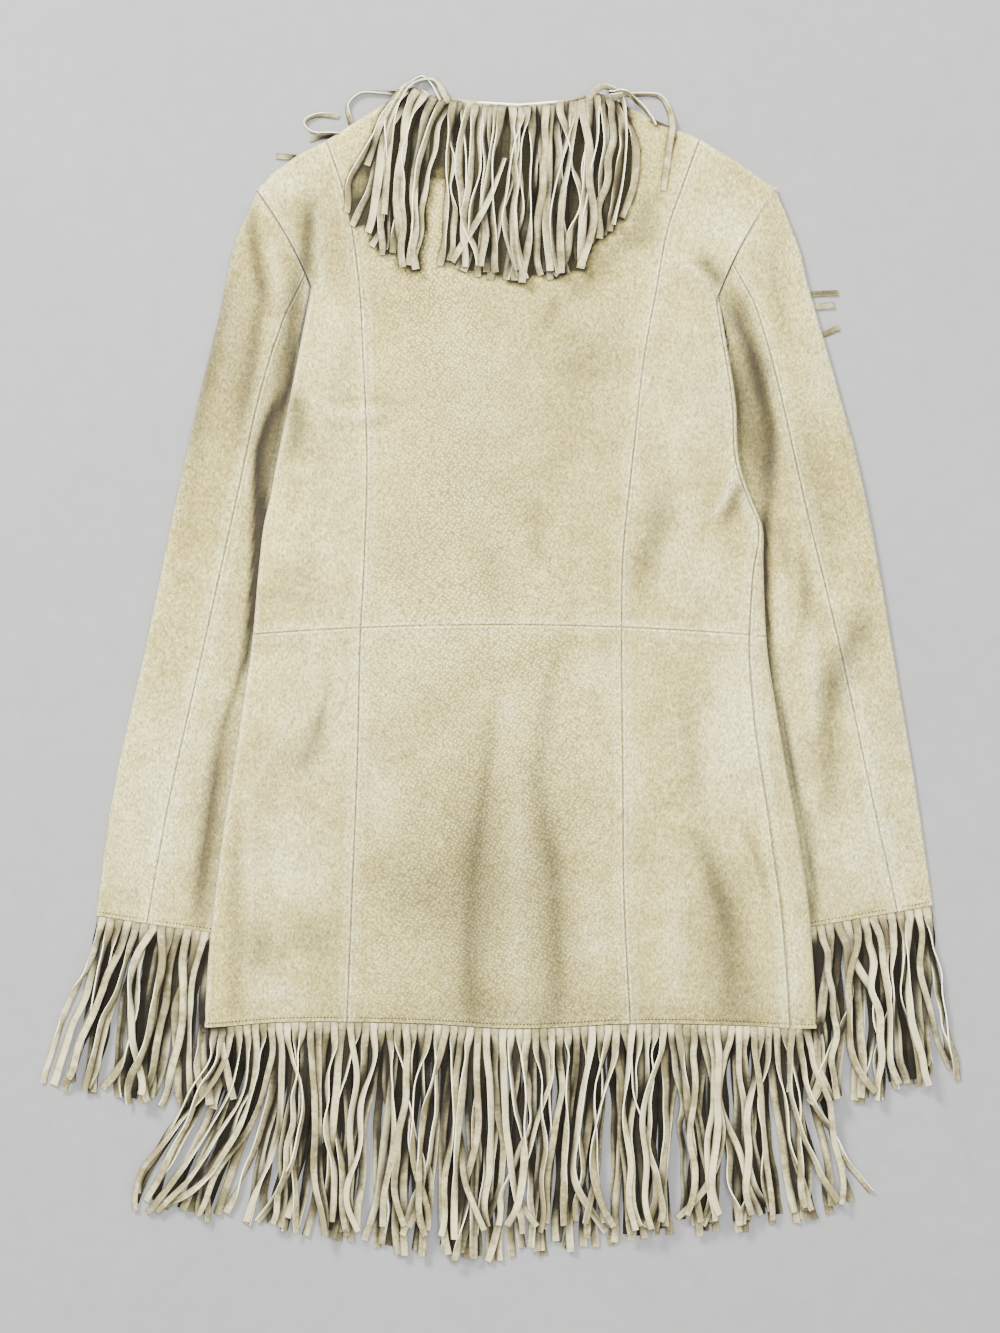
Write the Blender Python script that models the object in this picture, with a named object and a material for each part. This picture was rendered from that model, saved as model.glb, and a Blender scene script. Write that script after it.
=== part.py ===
"""Fringed suede jacket, laid flat with its back up.

Metres, +Z up. X runs across the shoulders and +Y from hem to neck. The cut is drawn about the
centre back (x = 0) and the waist seam (y = 0), in millimetres in the tables. The last step moves
every piece so that the origin lies on the floor under the middle of the jacket's box.
"""

import math
import random
from collections import namedtuple

import bmesh
import bpy
from mathutils import Vector

MM = 0.001
WALL = 1.2 * MM            # suede
GAP = 0.3 * MM             # between pieces at a seam
RISE = 4.0 * MM            # height of the flattened body, from front face to back face
FOLD_RADIUS = RISE / 2     # roundness of the side and shoulder folds
SLEEVE_RISE = 3.0 * MM     # height of a flattened sleeve
BODY_OVER_SLEEVE = SLEEVE_RISE + 2 * GAP
CHEST_LIFT = WALL + 2 * GAP  # chest and shoulders lie on the fringe of the front
CHEST_RAMP = (-70 * MM, 50 * MM)
TUCK = 28 * MM             # how far the body lies over the sleeves
TUCK_SLOPE = 22 * MM
UNDERARM_RAMP = (234 * MM, 262 * MM)
HEM_RAMP = (-470 * MM, -392 * MM)

WAIST_CROWN = 8 * MM       # rise of the waist seam at the centre back
WAIST_CENTRE = -13.6 * MM
WAIST_HALF = 200 * MM
CENTRE_FRONT = -5 * MM
FRONT_NECK = 330 * MM      # height of the front neck above the waist seam
SEAM_TOP = 390 * MM
NECK_CORNERS = (-80 * MM, 68 * MM)

FLOOR, SLEEVE, BODY = "floor", "sleeve", "body"  # what a piece lies with

FOLD_STEPS = (30, 60, 90)  # degrees, a quarter of the way round a fold
WRAP_STEPS = (0, 30, 60, 90, 120, 150)  # degrees, most of the way round
UNDERARM_ROW = 7
FRONT_NECK_ROW = 8
UPPER_ROWS = 12
LOWER_ROWS = 8
SHOULDER_BLEND = 0.72      # row fraction from which rows bend to the shoulder line

# Columns of the pieces, by their share of the way across.
BACK_SHARES = (0, 0.08, 0.157, 0.236, 0.32, 0.42, 0.52, 0.62, 0.68, 0.734, 0.82, 0.91, 1)
LEFT_SHARES = (0, 0.1, 0.22, 0.34, 0.46, 0.58, 0.72, 0.86, 1)
RIGHT_SHARES = (0, 0.16, 0.32, 0.46, 0.58, 0.7, 0.8, 0.9, 1)
FRONT_SHARES = (0, 0.25, 0.5, 0.66, 0.74, 0.8, 0.86, 0.92, 1)
SLEEVE_UNDER_SHARES = (0, 0.35, 0.7, 1)
SLEEVE_UPPER_SHARES = (0, 0.4, 0.7, 1)

SUEDE = (0.66, 0.60, 0.44)
SUEDE_PALE = (0.72, 0.68, 0.53)
BINDING_COLOUR = (0.80, 0.79, 0.73)
BINDING_WIDTH = 2 * MM
BINDING_STEPS = 8
BINDING_SPAN = (NECK_CORNERS[0] + 28 * MM, NECK_CORNERS[1] - 8 * MM)
ROUGHNESS = 0.9

Sides = namedtuple("Sides", "y left right")
SIDE_FOLDS = (
    Sides(-316, -248, 241),
    Sides(-264, -245, 238),
    Sides(-216, -240, 234),
    Sides(-160, -233, 226),
    Sides(-104, -224, 216),
    Sides(-56, -217, 208),
    Sides(-8, -210, 201),
    Sides(56, -204, 198),
    Sides(88, -200, 197),
    Sides(104, -196, 190),
    Sides(136, -190, 179),
    Sides(184, -180, 176),
    Sides(240, -169, 167),
    Sides(274, -163, 162),
)
SHAPED_SEAMS = (
    Sides(-316, -134, 92),
    Sides(-216, -130, 87),
    Sides(-118, -126, 86),
    Sides(0, -123, 85),
    Sides(56, -120, 86),
    Sides(136, -118, 94),
    Sides(216, -121, 103),
    Sides(272, -124, 113),
    Sides(320, -130, 122),
    Sides(352, -137, 133),
    Sides(390, -150, 147),
)

Along = namedtuple("Along", "y inset")
SIDE_SEAM_INSET = (Along(-316, 22), Along(-184, 23), Along(-74, 20), Along(-22, 16), Along(47, 9),
                   Along(72, 4.5), Along(92, 3))

Line = namedtuple("Line", "x y")
HEM = (Line(-243, -317), Line(-188, -313), Line(-74, -314), Line(0, -318), Line(100, -314),
       Line(245, -318))
TOP = (Line(-206, 350), Line(-194, 364), Line(-172, 380), Line(-150, 391), Line(-116, 413), Line(-92, 428),
       Line(-80, 433), Line(-68, 427), Line(-30, 422), Line(4, 420), Line(40, 423), Line(62, 428),
       Line(68, 429), Line(76, 425), Line(100, 413), Line(147, 392), Line(180, 372), Line(208, 352))

SHOULDER_POINT = {"left": Vector((-206, 350)) * MM, "right": Vector((208, 352)) * MM}
UNDERARM = {"left": Vector((-163, 274)) * MM, "right": Vector((162, 266)) * MM}
ARMHOLE_BOW = 3 * MM
SIGN = {"left": -1, "right": 1}
EAST = Vector((1, 0))

# From the armhole to the cuff: outer fold, inner fold, and where the back seam lies between them.
Station = namedtuple("Station", "outer_x outer_y inner_x inner_y seam")
SLEEVES = {
    "left": (
        Station(-206.4, 350, -163.6, 273.5, 0.90),
        Station(-223, 312, -170.6, 240, 0.80),
        Station(-229, 288, -172, 226, 0.75),
        Station(-237, 248, -166, 204, 0.61),
        Station(-249, 200, -163, 164, 0.51),
        Station(-270, 108, -174, 92, 0.49),
        Station(-294, -8, -192, -16, 0.45),
        Station(-320, -124, -209, -134, 0.41),
        Station(-335, -228, -222, -245, 0.36),
    ),
    "right": (
        Station(208.4, 352, 163.0, 265.5, 0.72),
        Station(226, 308, 168.4, 238, 0.64),
        Station(233, 280, 170.4, 224, 0.60),
        Station(242, 248, 165, 200, 0.51),
        Station(256, 200, 158, 164, 0.44),
        Station(279, 112, 170, 92, 0.44),
        Station(300, -4, 182, -20, 0.35),
        Station(319, -116, 199, -136, 0.30),
        Station(334, -220, 218, -240, 0.24),
    ),
}
FRONT_SEAM = 0.7           # the sleeves' hidden seam, from the outer fold
SLEEVE_ROWS = 12
CAP_START = 7 / 8          # share of the sleeve from which it rises to the armhole
CLEAR_START = 0.9          # share of the sleeve from which it draws off the armhole seam
CAP_ACROSS = (0.87, 0.49)  # across the armhole, x outwards and y upwards

# Soft ridges and troughs of the upper layer.
Crease = namedtuple("Crease", "x0 y0 x1 y1 width height")
CREASES = (
    Crease(180, 132, 152, 88, 8, 1.5),
    Crease(-12, -30, -15, -210, 16, -1.0),
    Crease(-176, -60, -216, -140, 8, 1.3),
    Crease(140, 296, 158, 262, 7, 1.2),
    Crease(148, -56, 172, -160, 12, 1.1),
    Crease(-160, 336, -152, 280, 7, 1.1),
    Crease(-36, 250, -28, 88, 20, 0.8),
    Crease(40, -120, 30, -290, 18, 0.9),
)

# A fringe: strands, strand width, strip depth, the height of strip and strands above the lifted floor.
Fringe = namedtuple("Fringe", "name strands width strip strip_z strand_z layer roots tips")
# A strand's root by its share of the strip, and a strand's tip.
Root = namedtuple("Root", "s x y")
Tip = namedtuple("Tip", "s x y")

FLOOR_STRAND = WALL + 0.2 * MM
UPPER_STRAND = FLOOR_STRAND + WALL + 1 * MM
CUFF_STRAND = FLOOR_STRAND + WALL + GAP
NECK_STRAND = RISE + GAP + WALL
UNDER_STRAND = WALL + 0.1 * MM
STRAND_ROWS = 3
TIP_JITTER = 5 * MM
STRAND_SWAY = 1 * MM
ROOT_STEP = 0.01           # share of the strip over which its direction is read
TURN_STEP = 0.02           # share of the strand over which its direction is read


def smooth_step(low, high, value):
    """Ease from 0 at low to 1 at high."""
    share = min(max((value - low) / (high - low), 0.0), 1.0)
    return share * share * (3 - 2 * share)


def read(table, column, key, eased=True):
    """Value of a table's column at a key in metres, held past the table's ends, in metres."""
    keys = [row[0] * MM for row in table]
    values = [getattr(row, column) * MM for row in table]
    if key <= keys[0]:
        return values[0]
    if key >= keys[-1]:
        return values[-1]
    i = max(n for n in range(len(keys) - 1) if keys[n] <= key)
    span = keys[i + 1] - keys[i]
    share = (key - keys[i]) / span
    rise = (values[i + 1] - values[i]) / span
    if not eased:
        return values[i] + rise * span * share
    before = (values[i] - values[i - 1]) / (keys[i] - keys[i - 1]) if i else rise
    last = i + 2 >= len(keys)
    after = rise if last else (values[i + 2] - values[i + 1]) / (keys[i + 2] - keys[i + 1])
    start, end = (before + rise) / 2, (rise + after) / 2
    bend = share * (1 - share) * span * ((1 - share) * (start - rise) - share * (end - rise))
    return values[i] + rise * span * share + bend


def waist(x):
    """Height of the waist seam."""
    return WAIST_CROWN * (0.5 - ((x - WAIST_CENTRE) / WAIST_HALF) ** 2)


def floor_lift(x, y, layer):
    """How far a layer is carried off the floor by what lies under it."""
    if layer == FLOOR:
        return 0.0
    lift = CHEST_LIFT * smooth_step(*CHEST_RAMP, y)
    if layer == BODY:
        inside = min(x - read(SIDE_FOLDS, "left", y), read(SIDE_FOLDS, "right", y) - x)
        beside = 1 - smooth_step(TUCK, TUCK + TUCK_SLOPE, inside)
        along = smooth_step(*HEM_RAMP, y) * (1 - smooth_step(*UNDERARM_RAMP, y))
        lift += BODY_OVER_SLEEVE * beside * along
    return lift


def crease_height(x, y):
    """Height of the soft creases in the upper layer."""
    total = 0.0
    for crease in CREASES:
        start = Vector((crease.x0, crease.y0)) * MM
        run = Vector((crease.x1, crease.y1)) * MM - start
        share = min(max((Vector((x, y)) - start).dot(run) / run.length_squared, 0.0), 1.0)
        away = (Vector((x, y)) - start - run * share).length / (crease.width * MM)
        total += crease.height * MM * math.exp(-away * away)
    return total


def body_spot(point, angle, outward):
    """Point of the body's outer face and its normal: angle 0 is the back, 90 the fold, 180 the front."""
    turn = math.radians(angle)
    upper = (1 + math.cos(turn)) / 2
    lift = floor_lift(point.x, point.y, BODY)
    spot = Vector((point.x, point.y, lift + upper * (RISE + crease_height(point.x, point.y))))
    return spot, Vector((*(outward * math.sin(turn)), math.cos(turn)))


def armhole(side, share):
    """Armhole seam from the shoulder point (0) to the underarm (1)."""
    start, end = SHOULDER_POINT[side], UNDERARM[side]
    run = end - start
    inward = Vector((-run.y, run.x)) * -SIGN[side] / run.length
    if inward.x * SIGN[side] > 0:
        inward = -inward
    return start + run * share + inward * ARMHOLE_BOW * 4 * share * (1 - share)


def upper_side(side, row):
    """Outer edge of the upper body: the side fold to the underarm, then the armhole."""
    if row > UNDERARM_ROW:
        return armhole(side, (UPPER_ROWS - row) / (UPPER_ROWS - UNDERARM_ROW))
    y = row / UNDERARM_ROW * UNDERARM[side].y
    return Vector((read(SIDE_FOLDS, side, y), y))


def upper_seam(side, row):
    """Shaped seam of the back, waist to shoulder."""
    y = row / UPPER_ROWS * SEAM_TOP
    return Vector((read(SHAPED_SEAMS, side, y), y))


def upper_front(side, row):
    """Front edge, then the front neck up to the neck's corner."""
    if row <= FRONT_NECK_ROW:
        return Vector((CENTRE_FRONT, row / FRONT_NECK_ROW * FRONT_NECK))
    angle = math.pi / 2 * (row - FRONT_NECK_ROW) / (UPPER_ROWS - FRONT_NECK_ROW)
    corner = NECK_CORNERS[0] if side == "left" else NECK_CORNERS[1]
    x = CENTRE_FRONT + (corner - CENTRE_FRONT) * math.sin(angle)
    return Vector((x, FRONT_NECK + (read(TOP, "y", corner, False) - FRONT_NECK) * (1 - math.cos(angle))))


def lower_edge(table, side, row):
    """Side fold or shaped seam of the skirt, hem to waist."""
    share = row / LOWER_ROWS
    y = read(HEM, "y", 0.0) * (1 - share)
    return Vector((read(table, side, y), y))


def lower_front(side, row):
    """Front edge of the skirt."""
    return Vector((CENTRE_FRONT, read(HEM, "y", 0.0) * (1 - row / LOWER_ROWS)))


def between(first, last, share):
    """Point part of the way from one point to another."""
    return first + (last - first) * share


def upper_point(first, last, share, row):
    """Point of a row of the upper body; the last rows bend to the shoulder and neck line."""
    point = between(first(row), last(row), share)
    top = between(first(UPPER_ROWS), last(UPPER_ROWS), share)
    bend = smooth_step(SHOULDER_BLEND, 1, row / UPPER_ROWS)
    point.y += (read(TOP, "y", top.x, False) - FOLD_RADIUS - top.y) * bend
    point.y += waist(point.x) * (1 - row / UPPER_ROWS)
    return point


def lower_point(first, last, share, row):
    """Point of a row of the skirt, between the hem line and the waist seam."""
    point = between(first(row), last(row), share)
    height = row / LOWER_ROWS
    point.y = read(HEM, "y", point.x) * (1 - height) + waist(point.x) * height
    return point


def material(name, colour):
    """A plain suede finish."""
    finish = bpy.data.materials.new(name)
    finish.use_nodes = True
    shader = finish.node_tree.nodes["Principled BSDF"]
    shader.inputs["Base Color"].default_value = (*colour, 1)
    shader.inputs["Roughness"].default_value = ROUGHNESS
    shader.inputs["Metallic"].default_value = 0.0
    return finish


def thicken(name, grid, colour, kept=None):
    """A closed wall of suede from a grid of outer points and normals, rows from -Y to +Y.

    The wall goes straight in along each point's own normal, so that two pieces meet square at a seam.
    """
    rows, columns = len(grid) - 1, len(grid[0]) - 1
    mesh_data = bmesh.new()
    bmesh.ops.create_grid(mesh_data, x_segments=columns, y_segments=rows, size=1)
    for vertex in mesh_data.verts:
        column = round((vertex.co.x + 1) / 2 * columns)
        row = round((vertex.co.y + 1) / 2 * rows)
        vertex.co = (column, row, 0)
    if kept:
        centres = [(face, face.calc_center_median()) for face in mesh_data.faces]
        spare = [face for face, centre in centres if not kept(int(centre.x), int(centre.y))]
        bmesh.ops.delete(mesh_data, geom=spare, context="FACES")
    outer = list(mesh_data.verts)
    spots = [grid[round(vertex.co.y)][round(vertex.co.x)] for vertex in outer]
    for vertex, (point, _) in zip(outer, spots):
        vertex.co = point
    inward = {tuple(vertex.co): normal * -WALL for vertex, (_, normal) in zip(outer, spots)}
    made = bmesh.ops.extrude_face_region(mesh_data, geom=list(mesh_data.faces), use_keep_orig=True)
    for vertex in [item for item in made["geom"] if isinstance(item, bmesh.types.BMVert)]:
        vertex.co += inward[tuple(vertex.co)]
    bmesh.ops.recalc_face_normals(mesh_data, faces=mesh_data.faces)
    mesh = bpy.data.meshes.new(name)
    mesh_data.to_mesh(mesh)
    mesh_data.free()
    mesh.shade_smooth()
    piece = bpy.data.objects.new(name, mesh)
    bpy.data.collections["fringed_suede_jacket"].objects.link(piece)
    mesh.materials.append(material(name, colour))


def part_seams(grid):
    """Draw the points of a grid's border in by half the seam gap."""
    step = GAP / 2
    lines = list(grid) + [list(column) for column in zip(*grid)]
    for line in lines:
        for (border, _), (inner, _) in ((line[0], line[1]), (line[-1], line[-2])):
            border += (inner - border).normalized() * step
    return grid


def shoulder_rows(flat, angle_of):
    """Rows that round the shoulder fold, past the last row of the back or front."""
    top = flat[-1]
    rows = []
    for step in FOLD_STEPS:
        row = []
        for column, (point, _, _) in enumerate(top):
            west, east = top[max(column - 1, 0)][0], top[min(column + 1, len(top) - 1)][0]
            along = (east - west).normalized()
            outward = Vector((-along.y, along.x))
            if outward.y < 0:
                outward = -outward
            reach = FOLD_RADIUS * math.sin(math.radians(step))
            row.append((point + outward * reach, angle_of(point, step), outward))
        rows.append(row)
    return rows


def to_body(flat):
    """Lift a grid of (point, angle, outward direction) onto the body."""
    return [[body_spot(*spot) for spot in row] for row in flat]


def back_centre():
    """The two middle pieces of the back."""
    def west(row):
        return upper_seam("left", row)

    def east(row):
        return upper_seam("right", row)

    flat = [[(upper_point(west, east, share, row), 0, EAST) for share in BACK_SHARES]
            for row in range(UPPER_ROWS + 1)]

    def angle_of(point, step):
        on_neck = NECK_CORNERS[0] + GAP < point.x < NECK_CORNERS[1] - GAP
        return 0 if on_neck else step

    flat += shoulder_rows(flat, angle_of)
    thicken("back_centre_upper", part_seams(to_body(flat)), SUEDE)

    def low_west(row):
        return lower_edge(SHAPED_SEAMS, "left", row)

    def low_east(row):
        return lower_edge(SHAPED_SEAMS, "right", row)

    flat = [[(lower_point(low_west, low_east, share, row), 0, EAST) for share in BACK_SHARES]
            for row in range(LOWER_ROWS + 1)]
    thicken("back_centre_lower", part_seams(to_body(flat)), SUEDE)


def back_side_left():
    """Left side of the back: its outer edge goes half way round the side fold."""
    inset = EAST * FOLD_RADIUS

    def west(row):
        return upper_side("left", row) + inset

    def east(row):
        return upper_seam("left", row)

    def low_west(row):
        return lower_edge(SIDE_FOLDS, "left", row) + inset

    def low_east(row):
        return lower_edge(SHAPED_SEAMS, "left", row)

    def rows_of(point_of, first, last, count, folded_to):
        flat = []
        for row in range(count + 1):
            line = [(point_of(first, last, share, row), 0, EAST) for share in LEFT_SHARES]
            fold = []
            for step in reversed(FOLD_STEPS):
                reach = -EAST * FOLD_RADIUS * math.sin(math.radians(step))
                fold.append((line[0][0] + reach, step if row <= folded_to else 0, -EAST))
            flat.append(fold + line)
        return flat

    flat = rows_of(upper_point, west, east, UPPER_ROWS, UNDERARM_ROW)
    flat += shoulder_rows(flat, lambda _, step: step)
    thicken("back_side_left_upper", part_seams(to_body(flat)), SUEDE_PALE)
    flat = rows_of(lower_point, low_west, low_east, LOWER_ROWS, LOWER_ROWS)
    thicken("back_side_left_lower", part_seams(to_body(flat)), SUEDE_PALE)


def side_seam(edge, row):
    """The right side seam, on the back just inside the side fold."""
    point = edge(row)
    return point - EAST * read(SIDE_SEAM_INSET, "inset", point.y, False)


def back_side_right():
    """Right side of the back, from the shaped seam to the side seam."""
    def west(row):
        return upper_seam("right", row)

    def east(row):
        if row > UNDERARM_ROW:
            return upper_side("right", row)
        return side_seam(lambda n: upper_side("right", n), row)

    flat = [[(upper_point(west, east, share, row), 0, EAST) for share in RIGHT_SHARES]
            for row in range(UPPER_ROWS + 1)]
    flat += shoulder_rows(flat, lambda _, step: step)
    thicken("back_side_right_upper", part_seams(to_body(flat)), SUEDE_PALE)

    def low_west(row):
        return lower_edge(SHAPED_SEAMS, "right", row)

    def low_east(row):
        return side_seam(lambda n: lower_edge(SIDE_FOLDS, "right", n), row)

    flat = [[(lower_point(low_west, low_east, share, row), 0, EAST) for share in RIGHT_SHARES]
            for row in range(LOWER_ROWS + 1)]
    thicken("back_side_right_lower", part_seams(to_body(flat)), SUEDE_PALE)


def front_left():
    """Left front: from the front edge to half way round the left side fold."""
    inset = EAST * FOLD_RADIUS

    def rows_of(point_of, first, last, count, folded_to):
        flat = []
        for row in range(count + 1):
            line = [(point_of(first, last, share, row), 180, EAST) for share in FRONT_SHARES]
            fold = []
            for step in FOLD_STEPS:
                reach = -EAST * FOLD_RADIUS * math.sin(math.radians(step))
                fold.append((line[-1][0] + reach, 180 - step if row <= folded_to else 180, -EAST))
            flat.append(line + fold)
        return flat

    def first(row):
        return upper_front("left", row)

    def last(row):
        return upper_side("left", row) + inset

    flat = rows_of(upper_point, first, last, UPPER_ROWS, UNDERARM_ROW)
    flat += shoulder_rows(flat, lambda _, step: 180 - step)
    thicken("front_left_upper", part_seams(to_body(flat)), SUEDE)

    def low_first(row):
        return lower_front("left", row)

    def low_last(row):
        return lower_edge(SIDE_FOLDS, "left", row) + inset

    flat = rows_of(lower_point, low_first, low_last, LOWER_ROWS, LOWER_ROWS)
    thicken("front_left_lower", part_seams(to_body(flat)), SUEDE)


def front_right():
    """Right front: from the side seam on the back, round the side fold, to the front edge."""
    inset = -EAST * FOLD_RADIUS

    def rows_of(point_of, front, edge, count, folded_to):
        flat = []
        for row in range(count + 1):
            shares = tuple(reversed(FRONT_SHARES))
            line = [(point_of(front, edge, share, row), 180, EAST) for share in shares]
            turn = line[0][0]
            folded = row <= folded_to
            seam_reach = read(SIDE_SEAM_INSET, "inset", edge(row).y, False) - FOLD_RADIUS
            strip = [(turn - EAST * seam_reach * part, 0, EAST) for part in (1, 0.5)]
            fold = []
            for step in WRAP_STEPS:
                reach = EAST * FOLD_RADIUS * math.sin(math.radians(step))
                fold.append((turn + reach, step if folded else 180, EAST))
            flat.append(strip + fold + line)
        return flat

    wrap_columns = 2 + FOLD_STEPS.index(90) + 1

    def front(row):
        return upper_front("right", row)

    def edge(row):
        return upper_side("right", row) + inset

    flat = rows_of(upper_point, front, edge, UPPER_ROWS, UNDERARM_ROW)
    flat += shoulder_rows(flat, lambda _, step: 180 - step)
    grid = part_seams(to_body(flat))
    thicken("front_right_upper", grid, SUEDE,
            kept=lambda column, row: column >= wrap_columns or row < UNDERARM_ROW)

    def low_front(row):
        return lower_front("right", row)

    def low_edge(row):
        return lower_edge(SIDE_FOLDS, "right", row) + inset

    flat = rows_of(lower_point, low_front, low_edge, LOWER_ROWS, LOWER_ROWS)
    thicken("front_right_lower", part_seams(to_body(flat)), SUEDE)


def sleeve_station(side, share):
    """Outer fold, inner fold, seam share and height at a share of the way up from the cuff."""
    stations = SLEEVES[side][::-1]
    place = share * (len(stations) - 1)
    low = min(int(place), len(stations) - 2)
    rows = [stations[max(min(low + n, len(stations) - 1), 0)] for n in (-1, 0, 1, 2)]
    part = place - low
    values = []
    for before, first, last, after in zip(*rows):
        start, end = (last - before) / 2, (after - first) / 2
        if low == 0:
            start = last - first
        if low == len(stations) - 2:
            end = last - first
        blend = part * part * (3 - 2 * part)
        values.append(first + (last - first) * blend + start * part * (1 - part) ** 2
                      - end * part * part * (1 - part))
    outer, inner = Vector(values[0:2]) * MM, Vector(values[2:4]) * MM
    height = SLEEVE_RISE + (RISE - SLEEVE_RISE) * smooth_step(CAP_START, 1, share)
    return outer, inner, values[4], height


def sleeve_spot(side, share, across, angle, rounding):
    """Point and normal of a sleeve: across runs from the outer fold (0) to the inner (1)."""
    outer, inner, _, height = sleeve_station(side, share)
    along = (inner - outer).normalized()
    radius = height / 2
    point = between(outer + along * radius, inner - along * radius, across)
    turn = math.radians(angle)
    point += along * radius * math.sin(turn) * rounding
    bow = ARMHOLE_BOW * smooth_step(CAP_START, 1, share) * 4 * across * (1 - across)
    clear = 2 * GAP * smooth_step(CLEAR_START, 1, share)
    sideways, upwards = CAP_ACROSS
    point += Vector((-SIGN[side] * sideways, upwards)) * bow
    point += Vector((SIGN[side] * sideways, -upwards)) * clear
    level = floor_lift(point.x, point.y, SLEEVE) + (1 + math.cos(turn)) / 2 * height
    return Vector((*point, level)), Vector((*(along * rounding * math.sin(turn)), math.cos(turn)))


def sleeve(side):
    """The top and the under piece of a sleeve, each round one fold."""
    turn = WRAP_STEPS[:0:-1]
    for piece, fold, sign in (("top", 0, -1), ("under", 1, 1)):
        grid = []
        for row in range(SLEEVE_ROWS + 1):
            share = row / SLEEVE_ROWS
            seam = sleeve_station(side, share)[2]
            below = [(between(FRONT_SEAM, fold, part), 180, 0) for part in SLEEVE_UNDER_SHARES]
            round_fold = [(fold, angle, sign) for angle in turn]
            above = [(between(fold, seam, part), 0, 0) for part in SLEEVE_UPPER_SHARES]
            ring = below + round_fold + above
            if (side == "left") != (piece == "top"):
                ring.reverse()
            grid.append([sleeve_spot(side, share, *column) for column in ring])
        thicken("sleeve_%s_%s" % (piece, side), part_seams(grid), SUEDE_PALE if side == "left" else SUEDE)


def neck_binding():
    """The thin pale edge that lies along the back neck."""
    grid = []
    for row in range(2):
        line = []
        for column in range(BINDING_STEPS + 1):
            x = between(*BINDING_SPAN, column / BINDING_STEPS)
            point = Vector((x, read(TOP, "y", x, False) - BINDING_WIDTH * (1 - row)))
            spot, normal = body_spot(point, 0, EAST)
            line.append((spot + normal * (WALL + GAP), normal))
        grid.append(line)
    thicken("neck_binding", grid, BINDING_COLOUR)


def hang(root, tip, share, sway):
    """Point of a strand, a share of the way from root to tip: its line bows to one side."""
    point = between(root, tip, share)
    reach = tip - root
    across = Vector((-reach.y, reach.x)).normalized()
    return point + across * sway * math.sin(math.pi * share)


def make_fringe(fringe):
    """A cut fringe: strands whose roots are one strip."""
    rng = random.Random(fringe.name)
    lines = [[] for _ in range(STRAND_ROWS + 2)]
    for strand in range(fringe.strands):
        share = (strand + 0.5) / fringe.strands
        root = Vector([read(fringe.roots, axis, share * MM) for axis in ("x", "y")])
        ahead = Vector([read(fringe.roots, axis, (share + ROOT_STEP) * MM) for axis in ("x", "y")])
        behind = Vector([read(fringe.roots, axis, (share - ROOT_STEP) * MM) for axis in ("x", "y")])
        along = (ahead - behind).normalized()
        tip = Vector([read(fringe.tips, axis, share * MM, False) for axis in ("x", "y")])
        tip += (tip - root).normalized() * rng.uniform(-TIP_JITTER, 0)
        sway = rng.uniform(-STRAND_SWAY, STRAND_SWAY)
        up = Vector((-along.y, along.x)) * fringe.strip * MM
        half = fringe.width * MM / 2
        for edge in (-1, 1):
            lines[-1].append((root + up + along * half * edge, fringe.strip_z))
            lines[-2].append((root + along * half * edge, fringe.strip_z))
        for row in range(STRAND_ROWS):
            down = 1 - row / STRAND_ROWS
            middle = hang(root, tip, down, sway)
            nearby = hang(root, tip, down - TURN_STEP, sway)
            across = (middle - nearby).normalized()
            across = Vector((-across.y, across.x))
            for edge in (-1, 1):
                lines[row].append((middle + across * half * edge, fringe.strand_z))
    up = Vector((0, 0, 1))
    grid = [[(Vector((*point, height + floor_lift(*point, fringe.layer))), up) for point, height in line]
            for line in lines]
    thicken(fringe.name, grid, SUEDE_PALE,
            kept=lambda column, row: column % 2 == 0 or row == STRAND_ROWS)


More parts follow.
